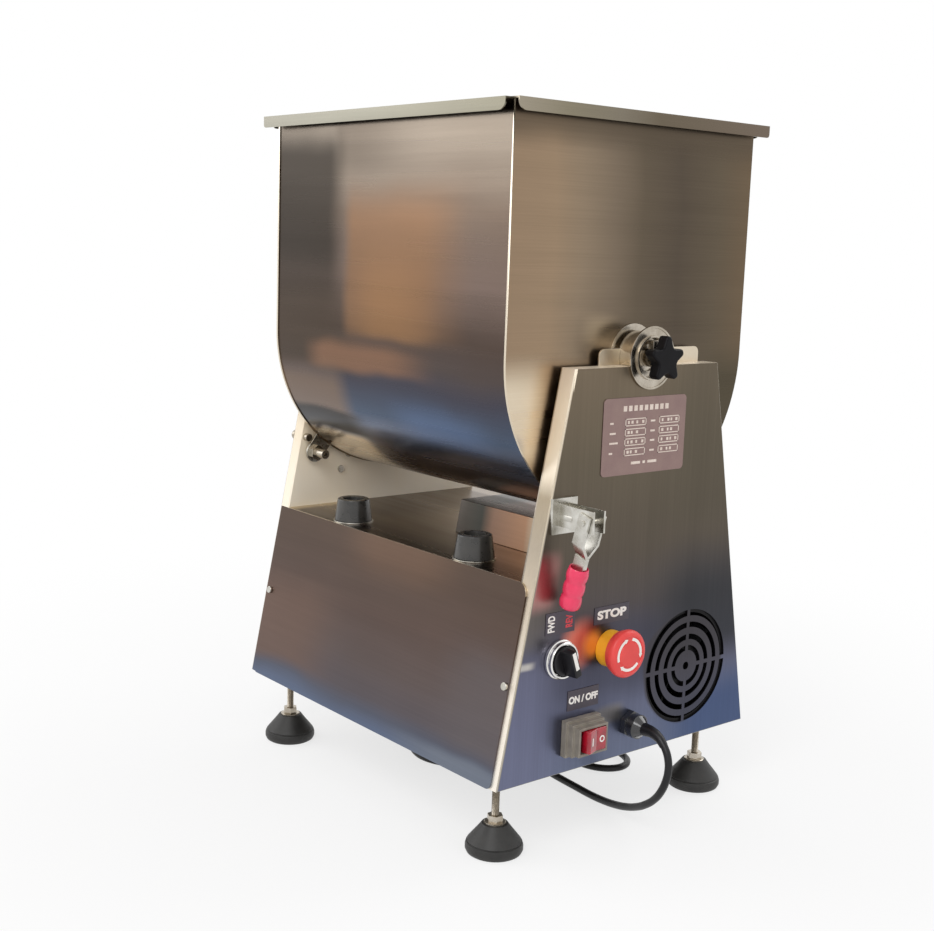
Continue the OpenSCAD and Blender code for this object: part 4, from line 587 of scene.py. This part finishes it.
for i in range(round(cable["turns"] * cable["perTurn"]) + 1):
    turn = i / cable["perTurn"]
    down = min(turn / cable["inward"], 1)
    back = max(turn - cable["outward"], 0) / (cable["turns"] - cable["outward"])
    reach = (cable["outer"] + (cable["inner"] - cable["outer"]) * down
             + (cable["end"] - cable["inner"]) * back)
    angle = math.radians(90 + 360 * turn)
    lifted = min(max(turn - cable["inward"], 0) / (cable["outward"] - cable["inward"]), 1)
    wound.append((cable["middle"][0] + reach * math.cos(angle), cable["middle"][1] + reach * math.sin(angle),
                  cable["low"] + cable["climb"] * lifted))
route = cable["out"] + wound + cable["tail"]
mainsCable = tube("mainsCable", cable["radius"], 4, [(spot, 1) for spot in route], cordPlastic)
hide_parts("cable", "cable_coil", "cable_tail")

# strain relief: a tapered boot over the first stretch of the cable
boot = {"radius": 3.3, "steps": [((182, -2, 86), 1.62), ((188, -2, 86), 1.52), ((194, -2, 86), 1.32),
                                 ((202, -2.1, 83.4), 1.13), ((207, -2.3, 79.3), 1)]}
cableBoot = tube("cableBoot", boot["radius"], 5, boot["steps"], blackPlastic)
bm = copyNode("plug")
bevelSharp(bm, 1.2, 3, over=50)
plugBody = finishPiece(bm, "plugBody", blackPlastic, "base", ["plug"])
print("cable laid")

# star knob: five blunt points, rounded over on both faces
stubEnd = 176
starKnob = {"from": 178.5, "to": 187.5, "height": 368, "tip": 17.1, "waist": 10.2, "points": 5, "round": 1.5}
bm = bmesh.new()
outline = []
for i in range(2 * starKnob["points"]):
    angle = math.radians(90 + 180 * i / starKnob["points"])
    if i % 2 == 0:
        spots = [(starKnob["tip"] - 1.3, -0.17), (starKnob["tip"] - 0.3, -0.1), (starKnob["tip"], 0),
                 (starKnob["tip"] - 0.3, 0.1), (starKnob["tip"] - 1.3, 0.17)]
    else:
        spots = [(starKnob["waist"] + 0.5, -0.16), (starKnob["waist"], 0), (starKnob["waist"] + 0.5, 0.16)]
    outline += [(reach * math.cos(angle + aside), reach * math.sin(angle + aside)) for reach, aside in spots]
face = bm.faces.new([bm.verts.new((starKnob["from"], y, starKnob["height"] + z)) for y, z in outline])
thicken(bm, face, (starKnob["to"] - starKnob["from"], 0, 0))
bmesh.ops.recalc_face_normals(bm, faces=bm.faces)
rims = [e for e in bm.edges if abs(e.verts[0].co.x - e.verts[1].co.x) < 0.01]
bmesh.ops.bevel(bm, geom=rims, offset=starKnob["round"], offset_type="OFFSET", segments=4, profile=0.5,
                affect="EDGES", clamp_overlap=True, material=-1)
turned(bm, [(stubEnd, 0), (stubEnd, 7.4), (starKnob["from"] + 0.6, 7.8), (starKnob["from"] + 0.6, 0)],
       (0, 0, starKnob["height"]), (1, 0, 0), 40)
finishPiece(bm, "starKnob", knobPlastic, "star_knob", ["star_knob"])

# dipped vinyl grip over both bars of the clamp's handle: three soft bulges and a closed end
grip = {"pivot": (199, -83, 258), "lean": 15.5, "start": 35.6, "bulge": 8.0, "waist": 7.0, "mouth": 7.2,
        "pitch": 11.1}
way = (-math.sin(math.radians(grip["lean"])), 0, -math.cos(math.radians(grip["lean"])))
profile = [(grip["start"] + 3, 0), (grip["start"] + 3, 6.2), (grip["start"] + 0.2, 6.3), (grip["start"], 6.7),
           (grip["start"] + 0.5, grip["mouth"])]
for i in range(1, 25):
    along = i / 8
    wave = math.sin(math.pi * (along % 1)) if i < 24 else 0
    profile.append((grip["start"] + 0.5 + along * grip["pitch"] * 0.955,
                    grip["waist"] + (grip["bulge"] - grip["waist"]) * abs(wave) ** 0.8))
profile[-1] = (profile[-1][0] - 0.2, 6.4)
profile += [(profile[-1][0] + 0.9, 4.6), (profile[-1][0] + 1.3, 2.2), (profile[-1][0] + 1.4, 0)]
bm = bmesh.new()
turned(bm, profile, grip["pivot"], way, 48)
finishPiece(bm, "clampGrip", dippedVinyl, "handle", ["clamp_grip"], 60)

# stop button: a mushroom head with a shallow channel in its face and three turn-to-release arrows in it
stopHead = {"at": (182, -29, 151), "radius": 18.2, "back": 16.3, "rise": 10.5, "channel": (9.8, 13.6),
            "arrow": (10.6, 12.8), "sweep": 84}
bm = bmesh.new()
r, h = stopHead["radius"], stopHead["rise"]
inner, outer = stopHead["channel"]
turned(bm, [(-15, 0), (-15, 7.6), (6, 7.6), (6, 14.5), (0.3, 14.6), (0, 15), (0, stopHead["back"] - 0.7),
            (0.5, stopHead["back"]), (4.6, r - 0.25), (6.2, r), (8.0, r - 0.15), (9.2, r - 0.9), (10, r - 2),
            (10.4, r - 3.1), (h, outer + 0.9), (h - 0.1, outer + 0.3), (h - 0.7, outer), (h - 0.7, inner),
            (h - 0.2, inner - 0.3), (h - 0.1, inner - 0.9), (h - 0.1, 0)], stopHead["at"], (1, 0, 0), 72)
finishPiece(bm, "stopHead", redPlastic, "stop_button", ["estop_head"])
bm = bmesh.new()
face = stopHead["at"][0] + h - 0.4
inner, outer = stopHead["arrow"]
for i in range(3):
    turn = 120 * i + 25
    start = bm.faces.new([bm.verts.new((face + x, stopHead["at"][1], stopHead["at"][2] + z))
                          for x, z in ((-0.5, inner), (-0.5, outer), (0, outer), (0, inner))])
    bmesh.ops.rotate(bm, verts=start.verts, cent=stopHead["at"],
                     matrix=Matrix.Rotation(math.radians(turn), 3, "X"))
    bmesh.ops.spin(bm, geom=[start] + start.edges[:] + start.verts[:], cent=stopHead["at"], axis=(1, 0, 0),
                   dvec=(0, 0, 0), angle=math.radians(stopHead["sweep"]), steps=21, use_duplicate=False)
    tip = [bm.verts.new((face, stopHead["at"][1] + y, stopHead["at"][2] + z))
           for y, z in ((0, inner - 0.7), (3.0, (inner + outer) / 2), (0, outer + 0.7))]
    head = bm.faces.new(tip)
    bmesh.ops.rotate(bm, verts=tip, cent=stopHead["at"],
                     matrix=Matrix.Rotation(math.radians(turn), 3, "X"))
    thicken(bm, head, (-0.5, 0, 0))
bmesh.ops.recalc_face_normals(bm, faces=bm.faces)
finishPiece(bm, "stopArrows", whitePrint, "stop_button")

# selector: turned chrome bezel in two steps, black lever with a pale pointer let into it
selector = {"at": (170, -80, 151), "turn": 20, "lever": 7, "half": 10.8, "pointer": (3.2, 14)}
bm = bmesh.new()
bezelProfile = [(-40, 0), (-40, 11), (0, 11), (0, 14.2), (0.4, 14.7), (2.6, 14.7), (3, 14.3), (3.2, 13.5),
                (3.8, 13.3), (4.2, 13.9), (6.2, 13.8), (6.9, 13.2), (7, 12.7), (6.8, 12.1), (3.6, 11.8),
                (3.3, 11.5), (3.3, 0)]
turned(bm, bezelProfile, selector["at"], (1, 0, 0), 72)
finishPiece(bm, "selectorBezel", chromePlate, "base", ["selector_bezel"])
bm = bmesh.new()
turned(bm, [(3.8, 0), (3.8, 11.1), (6.6, 11.3), (7.6, 10.9), (8, 10.2), (8, 0)], selector["at"], (1, 0, 0),
       64)
lever = bmesh.new()
x, y, z = selector["at"]
slab(lever, (x + 7, y - selector["lever"] / 2, z - selector["half"]),
     (x + 19, y + selector["lever"] / 2, z + selector["half"]))
for v in lever.verts:
    if v.co.x > x + 10:
        v.co.y = y + (v.co.y - y) * 0.84
        v.co.z = z + (v.co.z - z) * 0.95
bmesh.ops.bevel(lever, geom=lever.edges[:], offset=1.1, segments=3, profile=0.5, affect="EDGES",
                clamp_overlap=True, material=-1)
bmesh.ops.rotate(lever, verts=lever.verts, cent=selector["at"],
                 matrix=Matrix.Rotation(math.radians(selector["turn"]), 3, "X"))
leverMesh = bpy.data.meshes.new("lever")
lever.to_mesh(leverMesh)
lever.free()
bm.from_mesh(leverMesh)
bpy.data.meshes.remove(leverMesh)
finishPiece(bm, "selectorLever", blackPlastic, "selector", ["selector_knob"])
bm = bmesh.new()
slab(bm, (x + 18.8, y - selector["pointer"][0] / 2, z + 10 - selector["pointer"][1]),
     (x + 19.15, y + selector["pointer"][0] / 2, z + 10), 0.1)
bmesh.ops.rotate(bm, verts=bm.verts, cent=selector["at"],
                 matrix=Matrix.Rotation(math.radians(selector["turn"]), 3, "X"))
finishPiece(bm, "selectorPointer", whitePrint, "selector")
print("controls made")

# rocker, lying on its side: red lens with the usual line and ring moulded on it
rocker = {"axis": (175.5, -56.5, 89), "tilt": 10, "line": (13.42, 6.2), "ring": (13.36, -5.4), "slope": 8.9}
bm = copyNode("rocker")
bevelSharp(bm, 0.9, 3, over=12)
finishPiece(bm, "rockerLens", redLens, "switch", ["rocker"])
bm = bmesh.new()
x, y, z = rocker["axis"]
out, up = rocker["line"]
slab(bm, (x + out - 0.6, y - 3, z + up - 0.6), (x + out + 0.1, y + 3, z + up + 0.6), 0.1)
out, up = rocker["ring"]
place = (Matrix.Translation((x + out, y, z + up))
         @ Matrix.Rotation(math.pi / 2 - math.radians(rocker["slope"]), 4, "Y"))
ringEdge = bmesh.ops.create_circle(bm, cap_ends=False, segments=24, radius=2.6, matrix=place)["verts"]
inside = bmesh.ops.extrude_edge_only(bm, edges=list({e for v in ringEdge for e in v.link_edges}))
inner = [v for v in inside["geom"] if isinstance(v, bmesh.types.BMVert)]
bmesh.ops.scale(bm, vec=(0.6, 0.6, 0.6), verts=inner, space=Matrix.Translation((-x - out, -y, -z - up)))
band = [f for f in bm.faces if all(v in ringEdge or v in inner for v in f.verts)]
bmesh.ops.solidify(bm, geom=band, thickness=0.7)
bmesh.ops.recalc_face_normals(bm, faces=bm.faces)
onItsSide = Matrix.Rotation(math.pi / 2, 3, "X") @ Matrix.Rotation(math.radians(rocker["tilt"]), 3, "Y")
bmesh.ops.rotate(bm, verts=bm.verts, cent=rocker["axis"], matrix=onItsSide)
finishPiece(bm, "rockerMarks", whitePrint, "switch")


# data plate: bare boxes and bars where a maker's words would be
plate = {"x": 170.6, "low": (-47.2, 282), "size": (88.4, 57.4), "rows": (0.32, 0.45, 0.575, 0.705),
         "line": 0.7, "box": 5.6}
bm = copyNode("data_plate")
bevelSharp(bm, 0.25, 2, over=50)
finishPiece(bm, "dataPlate", plateFoil, "base", ["data_plate"])
bm = bmesh.new()


def bar(y0, y1, z0, z1):
    slab(bm, (plate["x"] - 0.1, y0, z0), (plate["x"] + 0.12, y1, z1))


y0, top = plate["low"][0], plate["low"][1] + plate["size"][1]
for row, share in enumerate(plate["rows"]):
    z = top - share * plate["size"][1]
    for first, last, marks in ((0.26, 0.51, (0.3, 0.34, 0.4, 0.47)), (0.67, 0.92, (0.71, 0.78, 0.82, 0.88))):
        a, b = y0 + first * plate["size"][0], y0 + last * plate["size"][0]
        half = plate["box"] / 2
        bar(a, b, z + half - plate["line"], z + half)
        bar(a, b, z - half, z - half + plate["line"])
        bar(a, a + plate["line"], z - half, z + half)
        bar(b - plate["line"], b, z - half, z + half)
        for i, mark in enumerate(marks[:4 - row % 2]):
            m = y0 + mark * plate["size"][0]
            bar(m - 0.9, m + 0.9 + 0.5 * ((i + row) % 2), z - 1.1, z + 1.1)
    for first, last in ((0.08, 0.12 + 0.03 * (row % 3)), (0.565, 0.62)):
        bar(y0 + first * plate["size"][0], y0 + last * plate["size"][0], z - 0.7, z + 0.7)
for i in range(9):
    a = y0 + (0.23 + 0.063 * i) * plate["size"][0]
    bar(a, a + 3.6, top - 0.175 * plate["size"][1], top - 0.105 * plate["size"][1])
for first, last in ((0.35, 0.46), (0.49, 0.52), (0.55, 0.66)):
    bar(y0 + first * plate["size"][0], y0 + last * plate["size"][0], top - 0.87 * plate["size"][1],
        top - 0.835 * plate["size"][1])
finishPiece(bm, "dataPlateLines", etchedLine, "base")


def lettering(words, size, centre, x, name, material, stretch=1.0, quarter=0, bold=0.03):
    text = bpy.data.curves.new(name, "FONT")
    text.body = words
    text.size = size
    text.offset = size * bold
    text.extrude = 0.06
    text.align_x = "CENTER"
    text.align_y = "CENTER"
    holder = bpy.data.objects.new(name + "Text", text)
    bpy.context.collection.objects.link(holder)
    bpy.context.view_layer.update()
    drawn = bpy.data.meshes.new_from_object(holder.evaluated_get(bpy.context.evaluated_depsgraph_get()))
    bm = bmesh.new()
    bm.from_mesh(drawn)
    bpy.data.objects.remove(holder)
    bpy.data.meshes.remove(drawn)
    turn = Matrix(((0, 0, 1, x), (1, 0, 0, centre[0]), (0, 1, 0, centre[1]), (0, 0, 0, 1)))
    turn = turn @ Matrix.Rotation(math.radians(quarter), 4, "Z") @ Matrix.Diagonal((stretch, 1, 1, 1))
    bmesh.ops.transform(bm, matrix=turn, verts=bm.verts)
    finishPiece(bm, name, material, "base")


bm = copyNode("labels")
bevelSharp(bm, 0.15, 2, over=50)
finishPiece(bm, "controlLabels", labelFilm, "base", ["labels"])
lettering("FWD", 9, (-89.2, 178.3), 170.55, "forwardWord", whitePrint, 0.62, 90, 0.03)
lettering("REV", 9, (-71.6, 178.3), 170.55, "reverseWord", redPrint, 0.62, 90, 0.03)
lettering("STOP", 8.6, (-27.75, 177.2), 170.55, "stopWord", whitePrint, 1.45, 0, 0.05)
lettering("ON / OFF", 7.2, (-53.5, 116.2), 170.55, "powerWord", whitePrint, 0.98, 0, 0.05)
print("plate and labels made")

# rubber buffers just under the tilted tank
bumper = {"side": 81, "front": 89, "low": 210, "foot": 16, "head": 13.5, "rise": 18.5, "hole": 8.6}
bm = bmesh.new()
for side in (-1, 1):
    spot = (side * bumper["side"], -bumper["front"], bumper["low"])
    turned(bm, [(0, 0), (0, bumper["foot"] - 0.4), (0.5, bumper["foot"]), (1.6, bumper["foot"] - 0.15),
                (bumper["rise"] - 1.6, bumper["head"] + 0.2), (bumper["rise"] - 0.5, bumper["head"] - 0.2),
                (bumper["rise"], bumper["head"] - 1.1), (bumper["rise"], bumper["hole"] + 1),
                (bumper["rise"] - 0.6, bumper["hole"]), (bumper["rise"] - 6, bumper["hole"] - 0.6),
                (bumper["rise"] - 6, 0)], spot, (0, 0, 1), 56)
finishPiece(bm, "rubberBuffers", bufferRubber, "base", ["bumpers"])
bm = bmesh.new()
for side in (-1, 1):
    spot = (side * bumper["side"], -bumper["front"], bumper["low"] + bumper["rise"] - 6)
    turned(bm, [(-1, 0), (-1, 5.6), (0.6, 5.6), (0.9, 5.2), (0.9, 4.2), (2.6, 3.9), (3.3, 2.8), (3.3, 1.5),
                (1.6, 1.5), (1.6, 0)], spot, (0, 0, 1), 32)
finishPiece(bm, "bufferScrews", zincPlate, "base")

# levelling feet: rubber pads on threaded screws
foot = {"side": 142, "across": 111, "nutFlats": 11}
padProfile = [(0, 0), (0, 19.4), (0.9, 20.8), (3.2, 21.9), (6, 21.9), (8.2, 21.2), (8.7, 20.4), (9.4, 20.5),
              (13, 17.6), (17.5, 13.9), (21, 11.2), (22.6, 10), (23, 8.6), (23, 0)]
thread = [(28.5 + 0.5 * i, 3.0 if i % 2 else 2.55) for i in range(95)]
nutReach = foot["nutFlats"] / math.sqrt(3)
bm = bmesh.new()
screws = bmesh.new()
for side in (-1, 1):
    for across in (-1, 1):
        spot = (side * foot["side"], across * foot["across"], 0)
        turned(bm, padProfile, spot, (0, 0, 1), 56)
        turned(screws, [(22, 0), (22, 8.3), (23.4, 8.3), (23.8, 7.8), (23.8, 0)], spot, (0, 0, 1), 32)
        turned(screws, [(28, 0), (28, 2.6)] + thread + [(75.8, 2.2), (75.8, 0)], spot, (0, 0, 1), 20)
        made = bmesh.ops.create_cone(screws, cap_ends=True, segments=6, radius1=nutReach, radius2=nutReach,
                                     depth=6, matrix=Matrix.Translation((spot[0], spot[1], 26.2)))
        edges = {e for v in made["verts"] for e in v.link_edges}
        bmesh.ops.bevel(screws, geom=list(edges), offset=0.7, segments=2, profile=0.5, affect="EDGES",
                        clamp_overlap=True, material=-1)
finishPiece(bm, "footPads", rubber, "base", ["foot_pads"])
finishPiece(screws, "footScrews", turnedBar, "base", ["foot_studs"])

# pressed louvre hoods over the air slots at the back
louvre = {"half": 57, "low": 95, "pitch": 14, "count": 5, "proud": 1.53}
lean = math.atan(tower["slope"])
bm = bmesh.new()
for i in range(louvre["count"]):
    z = louvre["low"] + louvre["pitch"] * i
    y = tower["foot"] - (z - tower["low"]) * tower["slope"] + louvre["proud"]
    points = ((-1, 4.2), (0.4, 4.0), (2.0, 2.6), (2.9, 0.6), (3.0, -0.8), (2.3, -0.8), (1.6, 1.0), (0, 2.2),
              (-1, 2.2))
    hood = bm.faces.new([bm.verts.new((-louvre["half"], y + a, z + b)) for a, b in points])
    bmesh.ops.rotate(bm, verts=hood.verts, cent=(0, y, z), matrix=Matrix.Rotation(lean, 3, "X"))
    thicken(bm, hood, (2 * louvre["half"], 0, 0))
bmesh.ops.recalc_face_normals(bm, faces=bm.faces)
finishPiece(bm, "louvreHoods", frontSteel, "base")
print("small parts made")



def lookedAt(tree):
    # 1 for what the camera sees, straight, mirrored or through a clear part, and 0 for light that falls
    ray = add(tree, "LightPath")
    mirrored = add(tree, "Math", {"operation": "ADD", "use_clamp": True},
                   {0: ray.outputs["Is Camera Ray"], 1: ray.outputs["Is Glossy Ray"]})
    return add(tree, "Math", {"operation": "ADD", "use_clamp": True},
               {0: mirrored.outputs[0], 1: ray.outputs["Is Transmission Ray"]}).outputs[0]


# studio: white ground that keeps the shadow, even soft light
ground = bmesh.new()
bmesh.ops.create_grid(ground, x_segments=1, y_segments=1, size=4)
mesh = bpy.data.meshes.new("ground")
ground.to_mesh(mesh)
ground.free()
floor = bpy.data.objects.new("ground", mesh)
bpy.context.collection.objects.link(floor)
paper = bpy.data.materials.new("whitePaper")
paper.use_nodes = True
tree = paper.node_tree
tree.nodes.clear()
looked = lookedAt(tree)
far = add(tree, "VectorMath", {"operation": "LENGTH"}, {0: add(tree, "TexCoord").outputs["Object"]})
spread = add(tree, "MapRange", {"interpolation_type": "SMOOTHSTEP"},
             {0: far.outputs["Value"], 1: 0.3, 2: 0.9, 3: 0.72, 4: 1.0})
share = add(tree, "Math", {"operation": "MULTIPLY"}, {0: looked, 1: spread.outputs[0]})
matte = add(tree, "BsdfDiffuse", {}, {"Color": linear("#fbfbfb")})
glow = add(tree, "Emission", {}, {"Color": (1, 1, 1, 1), "Strength": 1.0})
mixed = add(tree, "MixShader", {}, {0: share.outputs[0], 1: matte.outputs[0], 2: glow.outputs[0]})
tree.links.new(mixed.outputs[0], add(tree, "OutputMaterial").inputs[0])
mesh.materials.append(paper)

world = bpy.data.worlds.new("studio")
bpy.context.scene.world = world
world.use_nodes = True
tree = world.node_tree
tree.nodes.clear()
looked = lookedAt(tree)
dim = add(tree, "Background", {}, {"Color": (1, 1, 1, 1), "Strength": 0.62})
bright = add(tree, "Background", {}, {"Color": (1, 1, 1, 1), "Strength": 1.0})
mixed = add(tree, "MixShader", {}, {0: looked, 1: dim.outputs[0], 2: bright.outputs[0]})
tree.links.new(mixed.outputs[0], add(tree, "OutputWorld").inputs[0])

lamps = (("keyLamp", (0.9, -1.5, 1.6), 1.2, 16), ("fillLamp", (-1.4, -1.3, 1.1), 1.4, 8),
         ("backLamp", (0.3, 1.6, 1.5), 1.4, 9))  # place in m, width in m, power in W
for name, spot, size, power in lamps:
    lamp = bpy.data.lights.new(name, "AREA")
    lamp.shape = "DISK"
    lamp.size = size
    lamp.energy = power
    holder = bpy.data.objects.new(name, lamp)
    holder.location = spot
    holder.rotation_euler = (Vector((0, 0, 0.28)) - Vector(spot)).to_track_quat("-Z", "Y").to_euler()
    bpy.context.collection.objects.link(holder)
bpy.context.scene.view_settings.view_transform = "Standard"
print("studio lit")
